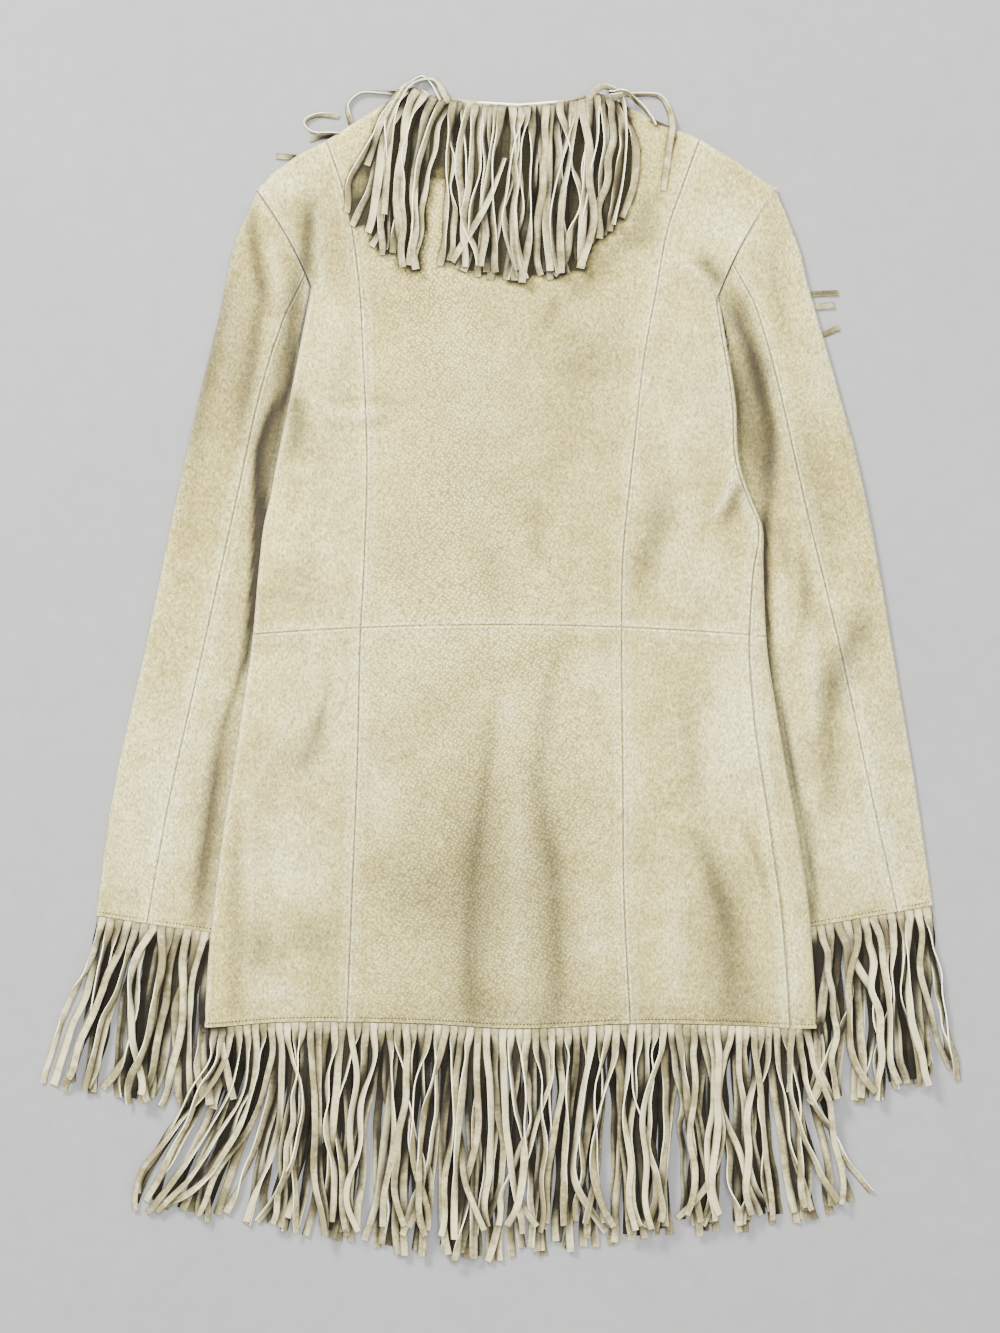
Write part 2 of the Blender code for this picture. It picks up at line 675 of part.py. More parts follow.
FRINGES = (
    Fringe("hem_fringe_back", 56, 5.6, 5, RISE, UPPER_STRAND, BODY,
           (Root(0, -243, -322), Root(0.1, -194, -319), Root(0.35, -74, -320), Root(0.5, 0, -324),
            Root(0.7, 98, -320), Root(1, 236, -324)),
           (Tip(0, -312, -452), Tip(0.05, -290, -470), Tip(0.115, -232, -474), Tip(0.12, -196, -478),
            Tip(0.3, -104, -482), Tip(0.5, -4, -484), Tip(0.75, 118, -474), Tip(0.95, 222, -470),
            Tip(0.97, 262, -455), Tip(1, 290, -446))),
    Fringe("hem_fringe_front_left", 20, 5.6, 5, WALL, FLOOR_STRAND, BODY,
           (Root(0, -243, -322), Root(0.2, -194, -319), Root(0.6, -94, -320), Root(1, -8, -324)),
           (Tip(0, -300, -468), Tip(0.3, -190, -482), Tip(0.6, -100, -498), Tip(1, -14, -504))),
    Fringe("hem_fringe_front_right", 20, 5.6, 5, WALL, FLOOR_STRAND, BODY,
           (Root(0, -1, -324), Root(0.4, 98, -320), Root(1, 236, -324)),
           (Tip(0, -2, -504), Tip(0.4, 96, -486), Tip(0.8, 196, -478), Tip(1, 262, -470))),
    Fringe("cuff_fringe_left_upper", 14, 5.2, 4, SLEEVE_RISE, CUFF_STRAND, SLEEVE,
           (Root(0, -333.5, -233.4), Root(0.5, -279, -241), Root(1, -224, -250)),
           (Tip(0, -378, -362), Tip(0.3, -338, -372), Tip(0.36, -312, -374), Tip(0.66, -274, -384),
            Tip(1, -224, -376))),
    Fringe("cuff_fringe_left_lower", 12, 5.2, 4, WALL, FLOOR_STRAND, SLEEVE,
           (Root(0, -333.5, -233.4), Root(0.5, -279, -241), Root(1, -224, -250)),
           (Tip(0, -366, -366), Tip(0.5, -300, -378), Tip(1, -232, -380))),
    Fringe("cuff_fringe_right_upper", 14, 5.2, 4, SLEEVE_RISE, CUFF_STRAND, SLEEVE,
           (Root(0, 220, -245), Root(0.5, 276, -235), Root(1, 332.5, -225.5)),
           (Tip(0, 228, -378), Tip(0.25, 252, -380), Tip(0.6, 298, -372), Tip(1, 353, -358))),
    Fringe("cuff_fringe_right_lower", 12, 5.2, 4, WALL, FLOOR_STRAND, SLEEVE,
           (Root(0, 220, -245), Root(0.5, 276, -235), Root(1, 332.5, -225.5)),
           (Tip(0, 220, -374), Tip(0.5, 284, -376), Tip(1, 350, -350))),
    Fringe("neck_fringe_back", 24, 5.0, 4, NECK_STRAND, NECK_STRAND, BODY,
           (Root(0, -76, 417), Root(0.15, -58, 415), Root(0.5, 4, 412), Root(0.85, 58, 416),
            Root(1, 78, 414)),
           (Tip(0, -139, 322), Tip(0.15, -106, 298), Tip(0.3, -72, 286), Tip(0.5, -18, 278),
            Tip(0.75, 38, 280), Tip(0.9, 66, 296), Tip(1, 84, 318))),
    Fringe("neck_fringe_front_left", 8, 5.0, 5, UNDER_STRAND, UNDER_STRAND, FLOOR,
           (Root(0, -84, 420), Root(0.4, -62, 384), Root(0.7, -42, 352), Root(1, -14, 326)),
           (Tip(0, -164, 404), Tip(0.25, -192, 352), Tip(0.5, -168, 290), Tip(0.75, -122, 240),
            Tip(1, -66, 200))),
    Fringe("neck_fringe_front_right", 8, 5.0, 5, UNDER_STRAND, UNDER_STRAND, FLOOR,
           (Root(0, 6, 326), Root(0.3, 34, 352), Root(0.6, 54, 384), Root(1, 74, 416)),
           (Tip(0, 14, 190), Tip(0.25, 46, 220), Tip(0.5, 84, 250), Tip(0.75, 118, 300),
            Tip(1, 140, 350))),
    Fringe("chest_fringe_left", 7, 5.0, 5, UNDER_STRAND, UNDER_STRAND, FLOOR,
           (Root(0, -152, 236), Root(1, -60, 180)),
           (Tip(0, -150, 98), Tip(1, -62, 70))),
    Fringe("chest_fringe_right", 7, 5.0, 5, UNDER_STRAND, UNDER_STRAND, FLOOR,
           (Root(0, 90, 196), Root(1, 156, 274)),
           (Tip(0, 130, 74), Tip(0.4, 226, 150), Tip(0.7, 262, 238), Tip(0.85, 258, 264), Tip(1, 272, 280))),
)


def remove_everything():
    """Start from an empty file."""
    for item in list(bpy.data.objects):
        bpy.data.objects.remove(item, do_unlink=True)
    collection = bpy.data.collections.new("fringed_suede_jacket")
    bpy.context.scene.collection.children.link(collection)


def centre_on_floor():
    """Move every piece so that the origin is under the middle of the whole box."""
    pieces = bpy.data.collections["fringed_suede_jacket"].objects
    points = [vertex.co for piece in pieces for vertex in piece.data.vertices]
    middle = Vector([(min(p[axis] for p in points) + max(p[axis] for p in points)) / 2 for axis in (0, 1)])
    for piece in pieces:
        for vertex in piece.data.vertices:
            vertex.co.x -= middle.x
            vertex.co.y -= middle.y


def main():
    """Build the jacket."""
    remove_everything()
    back_centre()
    back_side_left()
    back_side_right()
    front_left()
    front_right()
    for side in ("left", "right"):
        sleeve(side)
    neck_binding()
    for fringe in FRINGES:
        make_fringe(fringe)
    centre_on_floor()


main()
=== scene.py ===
"""Looks of a pale suede jacket with cut fringes, laid flat with its back up.

Pattern sizes are in millimetres about the centre back (x = 0) and the waist seam (y = 0), the
jacket's left on -x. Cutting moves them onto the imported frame, in metres.
"""

import logging
import math
from collections.abc import Callable, Iterable
from dataclasses import dataclass, field
from enum import Enum
from functools import partial

import bpy
import numpy as np
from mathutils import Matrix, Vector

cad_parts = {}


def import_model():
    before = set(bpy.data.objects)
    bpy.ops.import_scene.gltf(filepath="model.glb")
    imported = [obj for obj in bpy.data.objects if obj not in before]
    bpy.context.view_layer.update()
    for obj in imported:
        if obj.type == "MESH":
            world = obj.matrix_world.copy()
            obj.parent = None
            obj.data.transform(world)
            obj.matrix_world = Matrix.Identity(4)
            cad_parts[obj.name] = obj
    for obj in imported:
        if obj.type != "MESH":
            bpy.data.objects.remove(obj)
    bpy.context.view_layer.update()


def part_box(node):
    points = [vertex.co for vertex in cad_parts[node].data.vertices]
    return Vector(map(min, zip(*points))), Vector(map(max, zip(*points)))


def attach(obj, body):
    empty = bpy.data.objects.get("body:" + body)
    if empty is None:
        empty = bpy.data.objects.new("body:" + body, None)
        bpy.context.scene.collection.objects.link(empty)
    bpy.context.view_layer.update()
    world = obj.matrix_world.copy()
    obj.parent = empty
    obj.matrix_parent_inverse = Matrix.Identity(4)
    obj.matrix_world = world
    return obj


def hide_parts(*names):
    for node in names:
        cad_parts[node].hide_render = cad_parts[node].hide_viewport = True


Array = np.ndarray
Random = np.random.Generator
Piece = bpy.types.Object
Material = bpy.types.Material
Pair = tuple[float, float]
Triple = tuple[float, float, float]
Colour = Triple
Edge = Callable[[Array], Array]
LOG = logging.getLogger("jacket")
MM = 0.001
FAR = 99.0  # mm, past the reach of a seam's relief
EAST = np.array((1.0, 0.0))
SMOOTHING = np.array((1, 2, 3, 2, 1)) / 9


class Side(Enum):
    """A side of the jacket, with the direction that leads out to it."""

    LEFT = -1
    RIGHT = 1

    @property
    def word(self) -> str:
        """The side's name in the frame's nodes."""
        return self.name.lower()

    @property
    def column(self) -> int:
        """The side's column in a table of both sides."""
        return 1 if self is Side.LEFT else 2


class Layer(Enum):
    """What a piece lies with."""

    FLOOR = "floor"
    SLEEVE = "sleeve"
    BODY = "body"


def ease(low: float, high: float, value: Array) -> Array:
    """Ease from 0 at low to 1 at high."""
    share = np.clip((value - low) / (high - low), 0.0, 1.0)
    return share * share * (3 - 2 * share)


def mix(first: Array, last: Array, share: Array) -> Array:
    """The value a share of the way from the first to the last."""
    return first + (last - first) * share


def bell(value: Array, middle: float, width: float) -> Array:
    """A soft bump: 1 at the middle, fading to both sides."""
    return np.exp(-(((value - middle) / width) ** 2))


def smoothed(values: Array, weights: Array = SMOOTHING) -> Array:
    """A row of values, each averaged with its neighbours."""
    return np.convolve(np.pad(values, len(weights) // 2, mode="edge"), weights, "valid")


def measured(plan: Array) -> Array:
    """Distance of each point from the first one of its row, along the row."""
    steps = np.linalg.norm(np.diff(plan, axis=-2), axis=-1)
    return np.concatenate((np.zeros((*steps.shape[:-1], 1)), np.cumsum(steps, -1)), -1)


def left_of(plan: Array) -> Array:
    """Direction to the left of a line of points, at each of them."""
    along = np.gradient(plan, axis=0)
    along /= np.maximum(np.linalg.norm(along, axis=-1, keepdims=True), 1e-6)
    return np.stack((-along[:, 1], along[:, 0]), -1)


def on_top(turn: Array) -> Array:
    """Share of a fold's height where it is turned by some degrees: 1 on top, 0 below."""
    return (1 + np.cos(np.radians(turn))) / 2


def graded(length: float, step: float, fine: tuple[float, ...],
           ends: tuple[bool, bool] = (True, True)) -> Array:
    """Shares along a length, close together near its ends.

    Args:
        length: The length in mm.
        step: Spacing away from the ends in mm.
        fine: Distances from an end that get a row of points.
        ends: Whether the first and the last end get the fine rows.

    Returns:
        Rising shares from 0 to 1.
    """
    places = {0.0, length}
    if ends[0]:
        places.update(fine)
    if ends[1]:
        places.update(length - place for place in fine)
    start = max(fine) if ends[0] else 0.0
    stop = length - (max(fine) if ends[1] else 0.0)
    places.update(np.linspace(start, stop, max(int(round((stop - start) / step)), 1) + 1))
    return np.array(sorted(places)) / length


def distance_to(x: Array, y: Array, line: Array) -> Array:
    """Distance from points to a line of points."""
    best = np.full(np.broadcast(x, y).shape, 1e9)
    for start, stop in zip(line[:-1], line[1:]):
        run = stop - start
        share = np.clip(((x - start[0]) * run[0] + (y - start[1]) * run[1]) / max(run @ run, 1e-9), 0, 1)
        best = np.minimum(best, np.hypot(x - start[0] - run[0] * share, y - start[1] - run[1] * share))
    return best


def inside(x: Array, y: Array, outline: Array) -> Array:
    """Whether points lie inside a closed outline."""
    found = np.zeros(np.broadcast(x, y).shape, bool)
    for start, stop in zip(outline, np.roll(outline, -1, axis=0)):
        if start[1] == stop[1]:
            continue
        crosses = (start[1] > y) != (stop[1] > y)
        found ^= crosses & (x < start[0] + (y - start[1]) * (stop[0] - start[0]) / (stop[1] - start[1]))
    return found


@dataclass(frozen=True)
class Table:
    """Rows of sizes, the first column of which is the key."""

    rows: tuple[tuple[float, ...], ...]

    def read(self, column: int, key: Array, eased: bool = True) -> Array:
        """Values of a column, held past the table's ends.

        Args:
            column: The column to read.
            key: Where to read it.
            eased: A smooth line through the rows, or straight lines between them.

        Returns:
            One value for each key.
        """
        keys = np.array([row[0] for row in self.rows], float)
        values = np.array([row[column] for row in self.rows], float)
        key = np.clip(np.asarray(key, float), keys[0], keys[-1])
        at = np.clip(np.searchsorted(keys, key, side="right") - 1, 0, len(keys) - 2)
        span = keys[at + 1] - keys[at]
        share = (key - keys[at]) / span
        slopes = np.diff(values) / np.diff(keys)
        rise = slopes[at]
        if not eased:
            return values[at] + rise * span * share
        start = (slopes[np.maximum(at - 1, 0)] + rise) / 2
        end = (rise + slopes[np.minimum(at + 1, len(slopes) - 1)]) / 2
        bend = share * (1 - share) * span * ((1 - share) * (start - rise) - share * (end - rise))
        return values[at] + rise * span * share + bend

    def spot(self, key: Array, eased: bool = True) -> Array:
        """The first two values at a key, as x and y."""
        return np.array([self.read(column, key, eased) for column in (1, 2)])


@dataclass
class Pattern:
    """The flat cut of the jacket and the heights at which its layers lie, as in the solids."""

    wall: float = 1.2
    gap: float = 0.3
    rise: float = 4.0
    sleeve_rise: float = 3.0
    chest_lift: float = 1.8
    side_folds: Table = Table((
        (-316, -248, 241), (-264, -245, 238), (-216, -240, 234), (-160, -233, 226), (-104, -224, 216),
        (-56, -217, 208), (-8, -210, 201), (56, -204, 198), (88, -200, 197), (104, -196, 190),
        (136, -190, 179), (184, -180, 176), (240, -169, 167), (274, -163, 162)))
    shaped_seams: Table = Table((
        (-316, -134, 92), (-216, -130, 87), (-118, -126, 86), (0, -123, 85), (56, -120, 86),
        (136, -118, 94), (216, -121, 103), (272, -124, 113), (320, -130, 122), (352, -137, 133),
        (390, -150, 147)))
    side_seam_inset: Table = Table((
        (-316, 22), (-184, 23), (-74, 20), (-22, 16), (47, 9), (72, 4.5), (92, 3)))
    hem_line: Table = Table(((-243, -317), (-188, -313), (-74, -314), (0, -318), (100, -314), (245, -318)))
    top_line: Table = Table((
        (-206, 350), (-194, 364), (-172, 380), (-150, 391), (-116, 413), (-92, 428), (-80, 433),
        (-68, 427), (-30, 422), (4, 420), (40, 423), (62, 428), (68, 429), (76, 425), (100, 413),
        (147, 392), (180, 372), (208, 352)))
    # Outer fold x and y, inner fold x and y, and where the back seam lies, from armhole to cuff.
    sleeves: dict[Side, tuple[tuple[float, ...], ...]] = field(default_factory=lambda: {
        Side.LEFT: (
            (-206.4, 350, -163.6, 273.5, 0.90), (-223, 312, -170.6, 240, 0.80),
            (-229, 288, -172, 226, 0.75), (-237, 248, -166, 204, 0.61), (-249, 200, -163, 164, 0.51),
            (-270, 108, -174, 92, 0.49), (-294, -8, -192, -16, 0.45), (-320, -124, -209, -134, 0.41),
            (-335, -228, -222, -245, 0.36)),
        Side.RIGHT: (
            (208.4, 352, 163, 265.5, 0.72), (226, 308, 168.4, 238, 0.64), (233, 280, 170.4, 224, 0.60),
            (242, 248, 165, 200, 0.51), (256, 200, 158, 164, 0.44), (279, 112, 170, 92, 0.44),
            (300, -4, 182, -20, 0.35), (319, -116, 199, -136, 0.30), (334, -220, 218, -240, 0.24))})
    shoulder_points: dict[Side, Pair] = field(default_factory=lambda: {
        Side.LEFT: (-206, 350), Side.RIGHT: (208, 352)})
    underarms: dict[Side, Pair] = field(default_factory=lambda: {
        Side.LEFT: (-163, 274), Side.RIGHT: (162, 266)})
    waist_crown: float = 8.0
    waist_centre: float = -13.6
    waist_half: float = 200.0
    hem_corners: tuple[Pair, ...] = ((248, -317), (-248, -317))
    chest_ramp: Pair = (-70.0, 50.0)
    tuck: Pair = (28.0, 50.0)
    hem_ramp: Pair = (-470.0, -392.0)
    underarm_ramp: Pair = (234.0, 262.0)
    armhole_bow: float = 3.0
    cap_start: float = 0.875
    cap_across: Pair = (0.87, 0.49)
    clear_start: float = 0.9
    centre_front: float = -5.0
    front_neck: float = 330.0
    seam_top: float = 390.0
    neck_corners: Pair = (-80.0, 68.0)
    underarm_row: float = 7.0
    front_neck_row: float = 8.0
    upper_rows: float = 12.0
    shoulder_blend: float = 0.72

    @property
    def fold(self) -> float:
        """Roundness of the side and shoulder folds."""
        return self.rise / 2

    def waist(self, x: Array) -> Array:
        """Height of the waist seam."""
        return self.waist_crown * (0.5 - ((x - self.waist_centre) / self.waist_half) ** 2)

    def hem(self, x: Array) -> Array:
        """Height of the hem."""
        return self.hem_line.read(1, x)

    def top(self, x: Array) -> Array:
        """Height of the shoulder and neck line."""
        return self.top_line.read(1, x, False)

    def side_fold(self, side: Side, y: Array) -> Array:
        """How far out a side of the body is folded."""
        return self.side_folds.read(side.column, y)

    def within(self, x: Array, y: Array) -> Array:
        """How far points lie inside the nearer side fold of the body."""
        return np.minimum(x - self.side_fold(Side.LEFT, y), self.side_fold(Side.RIGHT, y) - x)

    def lift(self, x: Array, y: Array, layer: Layer) -> Array:
        """How far a layer is carried off the floor by what lies under it."""
        if layer is Layer.FLOOR:
            return np.zeros(np.broadcast(x, y).shape)
        lift = self.chest_lift * ease(*self.chest_ramp, y) + 0 * x
        if layer is Layer.BODY:
            beside = 1 - ease(*self.tuck, self.within(x, y))
            along = ease(*self.hem_ramp, y) * (1 - ease(*self.underarm_ramp, y))
            lift = lift + (self.sleeve_rise + 2 * self.gap) * beside * along
        return lift

    def armhole(self, side: Side, share: Array) -> Array:
        """The armhole seam from the shoulder point (0) to the underarm (1)."""
        start, stop = np.array(self.shoulder_points[side], float), np.array(self.underarms[side], float)
        run = stop - start
        inward = np.array((-run[1], run[0])) / np.hypot(*run)
        inward *= -side.value * np.sign(inward[0])
        share = np.asarray(share)[..., None]
        return start + run * share + inward * self.armhole_bow * 4 * share * (1 - share)

    def upper_side(self, side: Side, row: Array) -> Array:
        """Outer edge of the upper body: the side fold to the underarm, then the armhole."""
        y = np.minimum(row, self.underarm_row) / self.underarm_row * self.underarms[side][1]
        low = np.stack((self.side_fold(side, y), y), -1)
        span = self.upper_rows - self.underarm_row
        high = self.armhole(side, np.clip((self.upper_rows - row) / span, 0, 1))
        return np.where((row > self.underarm_row)[..., None], high, low)

    def upper_seam(self, side: Side, row: Array) -> Array:
        """Shaped seam of the back, waist to shoulder."""
        y = row / self.upper_rows * self.seam_top
        return np.stack((self.shaped_seams.read(side.column, y), y), -1)

    def upper_front(self, side: Side, row: Array) -> Array:
        """Front edge, then the front neck up to the neck's corner."""
        height = row / self.front_neck_row * self.front_neck
        low = np.stack((np.full(row.shape, self.centre_front), height), -1)
        turn = math.pi / 2 * (row - self.front_neck_row) / (self.upper_rows - self.front_neck_row)
        corner = self.neck_corners[0 if side is Side.LEFT else 1]
        x = self.centre_front + (corner - self.centre_front) * np.sin(turn)
        y = self.front_neck + (self.top(corner) - self.front_neck) * (1 - np.cos(turn))
        return np.where((row > self.front_neck_row)[..., None], np.stack((x, y), -1), low)

    def lower_edge(self, table: Table, side: Side, height: Array) -> Array:
        """Side fold or shaped seam of the skirt, from hem (0) to waist (1)."""
        y = self.hem(0.0) * (1 - height)
        return np.stack((table.read(side.column, y), y), -1)

    def lower_front(self, height: Array) -> Array:
        """Front edge of the skirt."""
        return np.stack((np.full(height.shape, self.centre_front), self.hem(0.0) * (1 - height)), -1)

    def upper_points(self, first: Edge, last: Edge, shares: Array, rows: Array) -> Array:
        """Rows of the upper body; the last rows bend to the shoulder and neck line."""
        across = shares[None, :, None]
        points = mix(first(rows)[:, None], last(rows)[:, None], across)
        full = np.array([self.upper_rows])
        top = mix(first(full)[:, None], last(full)[:, None], across)
        bend = ease(self.shoulder_blend, 1, rows / self.upper_rows)[:, None]
        points[..., 1] += (self.top(top[..., 0]) - self.fold - top[..., 1]) * bend
        points[..., 1] += self.waist(points[..., 0]) * (1 - rows / self.upper_rows)[:, None]
        return points

    def lower_points(self, first: Edge, last: Edge, shares: Array, heights: Array) -> Array:
        """Rows of the skirt, between the hem line and the waist seam."""
        points = mix(first(heights)[:, None], last(heights)[:, None], shares[None, :, None])
        height = heights[:, None]
        points[..., 1] = self.hem(points[..., 0]) * (1 - height) + self.waist(points[..., 0]) * height
        return points

    def sleeve_station(self, side: Side, share: Array) -> tuple[Array, Array, Array, Array]:
        """Outer fold, inner fold, seam share and height of a sleeve, from cuff (0) to armhole (1)."""
        stations = np.array(self.sleeves[side][::-1], float)
        place = share * (len(stations) - 1)
        low = np.minimum(place.astype(int), len(stations) - 2)
        first, last = stations[low], stations[low + 1]
        before, after = stations[np.maximum(low - 1, 0)], stations[np.minimum(low + 2, len(stations) - 1)]
        start = np.where((low == 0)[:, None], last - first, (last - before) / 2)
        end = np.where((low == len(stations) - 2)[:, None], last - first, (after - first) / 2)
        part = (place - low)[:, None]
        values = first + (last - first) * part * part * (3 - 2 * part)
        values = values + start * part * (1 - part) ** 2 - end * part * part * (1 - part)
        height = self.sleeve_rise + (self.rise - self.sleeve_rise) * ease(self.cap_start, 1, share)
        return values[:, 0:2], values[:, 2:4], values[:, 4], height

    def outer_line(self) -> Array:
        """Outline of what lies flat: left sleeve, shoulders and neck, right sleeve."""
        left = [row[0:2] for row in self.sleeves[Side.LEFT][::-1]]
        right = [row[0:2] for row in self.sleeves[Side.RIGHT]]
        return np.array([*left, *self.top_line.rows, *right], float)

    def outline(self) -> Array:
        """The closed outline of the whole garment without its fringes."""
        return np.concatenate((self.outer_line(), self.hem_corners))

    def inner_line(self, side: Side) -> Array:
        """The sleeve's inner fold."""
        return np.array([row[2:4] for row in self.sleeves[side]], float)

    def fold_line(self, side: Side) -> Array:
        """The side fold of the body, hem to underarm."""
        y = np.linspace(self.hem(0.0), self.underarms[side][1], 40)
        return np.stack((self.side_fold(side, y), y), -1)


@dataclass(frozen=True)
class Crease:
    """A soft trough (height below 0) or ridge that bends once, with the painted shade (tone below 0) or
    painted highlight (tone above 0) that it puts into the nap.
    """

    start: Pair
    bend: Pair
    end: Pair
    width: float
    height: float
    # Painted shade in a trough below 0, painted highlight on a ridge above 0.
    tone: float
    reach: float = 2.6
    rising: Pair = (-0.15, 0.3)
    falling: Pair = (0.7, 1.15)

    def at(self, x: Array, y: Array) -> Array:
        """Its strength from 0 to 1 at points, fading towards both ends."""
        part = np.linspace(0, 1, 13)[:, None]
        start, bend, end = (np.array(spot, float) for spot in (self.start, self.bend, self.end))
        line = mix(mix(start, bend, part), mix(bend, end, part), part)
        reach = self.reach * self.width
        low, high = line.min(0) - reach, line.max(0) + reach
        near = (x > low[0]) & (x < high[0]) & (y > low[1]) & (y < high[1])
        result = np.zeros(np.broadcast(x, y).shape)
        px, py = np.broadcast_to(x, near.shape)[near], np.broadcast_to(y, near.shape)[near]
        run = end - start
        share = ((px - start[0]) * run[0] + (py - start[1]) * run[1]) / (run @ run)
        fade = ease(*self.rising, share) * (1 - ease(*self.falling, share))
        result[near] = bell(distance_to(px, py, line), 0, self.width) * fade
        return result


@dataclass(frozen=True)
class Tuck:
    """A fold's edge down a line of points, and the hollow that runs from it towards one side, darkened with
    painted shade.
    """

    line: tuple[Pair, ...]
    soft: float
    reach: float
    height: float
    # Painted shade in the hollow past the fold's edge.
    tone: float
    way: float = 1.0
    foot: Pair = (-6.0, 44.0)
    head: Pair = (-34.0, 10.0)

    def at(self, x: Array, y: Array) -> Array:
        """Its strength from 0 to 1 at points, fading towards both ends."""
        across, down = np.array(self.line[::-1], float).T
        past = (x - np.interp(y, down, across)) * self.way
        low, high = (down[0] + step for step in self.foot), (down[-1] + step for step in self.head)
        hollow = np.exp(-((np.maximum(past, 0) / self.reach) ** 4))
        return ease(-self.soft, self.soft, past) * hollow * (ease(*low, y) * (1 - ease(*high, y)))


# Creases of the back: start, bend and end points, width and height in mm, and tone, which paints shade into a
# trough below 0 and a highlight onto a ridge above 0.
BODY_CREASES = tuple(Crease(*crease) for crease in (
    ((181, 133), (171, 110), (158, 88), 3.5, 1.8, 0.9), ((183, 122), (176, 102), (165, 82), 6, -1.8, -0.66),
    ((184, 112), (184, 98), (188, 84), 5, 0.7, 0.3), ((120, 110), (112, 76), (99, 34), 11, -1.3, -0.5),
    ((146, 104), (130, 66), (116, 36), 8, 1.0, 0.4), ((-17, -62), (-24, -130), (-34, -196), 6, -1.2, -0.42),
    ((-24, -120), (-34, -220), (-30, -344), 19, -1.2, -0.42),
    ((-30, -160), (-40, -226), (-34, -330), 7, -0.8, -0.40),
    ((34, -6), (24, -60), (18, -128), 8, -0.9, -0.3), ((16, -100), (22, -160), (34, -206), 8, -1.0, -0.36),
    ((24, -130), (32, -226), (28, -344), 17, -1.1, -0.40),
    ((28, -170), (37, -232), (32, -320), 6.5, -0.8, -0.38), ((0, -110), (3, -220), (1, -340), 7, 1.1, 0.3),
    ((-147, -40), (-153, -66), (-160, -88), 3.5, -1.2, -0.4),
    ((-152, -64), (-160, -90), (-172, -116), 9, -1.0, -0.45),
    ((-174, -58), (-190, -95), (-218, -142), 4, 0.9, 0.3),
    ((143, -160), (160, -196), (172, -244), 8, -1.4, -0.5),
    ((158, -170), (172, -250), (168, -344), 24, -1.1, -0.38),
    ((160, -190), (176, -250), (168, -330), 8, -0.9, -0.34),
    ((168, -214), (186, -270), (190, -344), 13, -0.4, -0.28),
    ((178, -150), (194, -172), (201, -216), 4, -0.9, -0.4),
    ((132, -44), (142, -96), (146, -146), 8, -0.7, -0.25),
    ((128, -170), (126, -230), (124, -310), 9, 0.8, 0.25),
    ((146, 298), (157, 288), (166, 272), 6, -1.3, -0.75),
    ((128, 299), (144, 286), (158, 269), 4, 1.4, 0.45),
    ((-161, 348), (-168, 314), (-167, 262), 7, -1.4, -0.78),
    ((-159, 346), (-154, 306), (-156, 262), 4.5, 1.3, 0.45),
    ((-150, 184), (-120, 184), (-84, 181), 3, -0.7, -0.30),
    ((-156, 173), (-130, 171), (-100, 173), 3.5, 0.8, 0.45),
    ((-152, 163), (-126, 161), (-100, 165), 3, -0.6, -0.26),
    ((-178, 196), (-168, 164), (-178, 136), 9, -0.9, -0.6),
    ((33, 268), (28, 252), (24, 236), 7, -0.8, -0.4), ((100, 352), (108, 330), (96, 304), 18, -0.9, -0.42),
    ((104, 318), (70, 292), (34, 256), 9, -0.7, -0.4), ((90, 248), (64, 218), (32, 202), 20, -0.6, -0.2),
    ((-38, 252), (-30, 160), (-28, 80), 22, 0.7, 0.1), ((-18, 74), (-20, 50), (-20, 26), 8, -0.4, -0.2),
    ((14, 104), (16, 80), (20, 52), 6, -0.4, -0.25),
    ((-222, -140), (-222, -230), (-224, -330), 6, -0.8, -0.3),
    ((-210, -124), (-211, -200), (-210, -310), 4, 0.7, 0.25),
    ((-208, 30), (-180, 26), (-148, 22), 4, -0.5, -0.2),
))
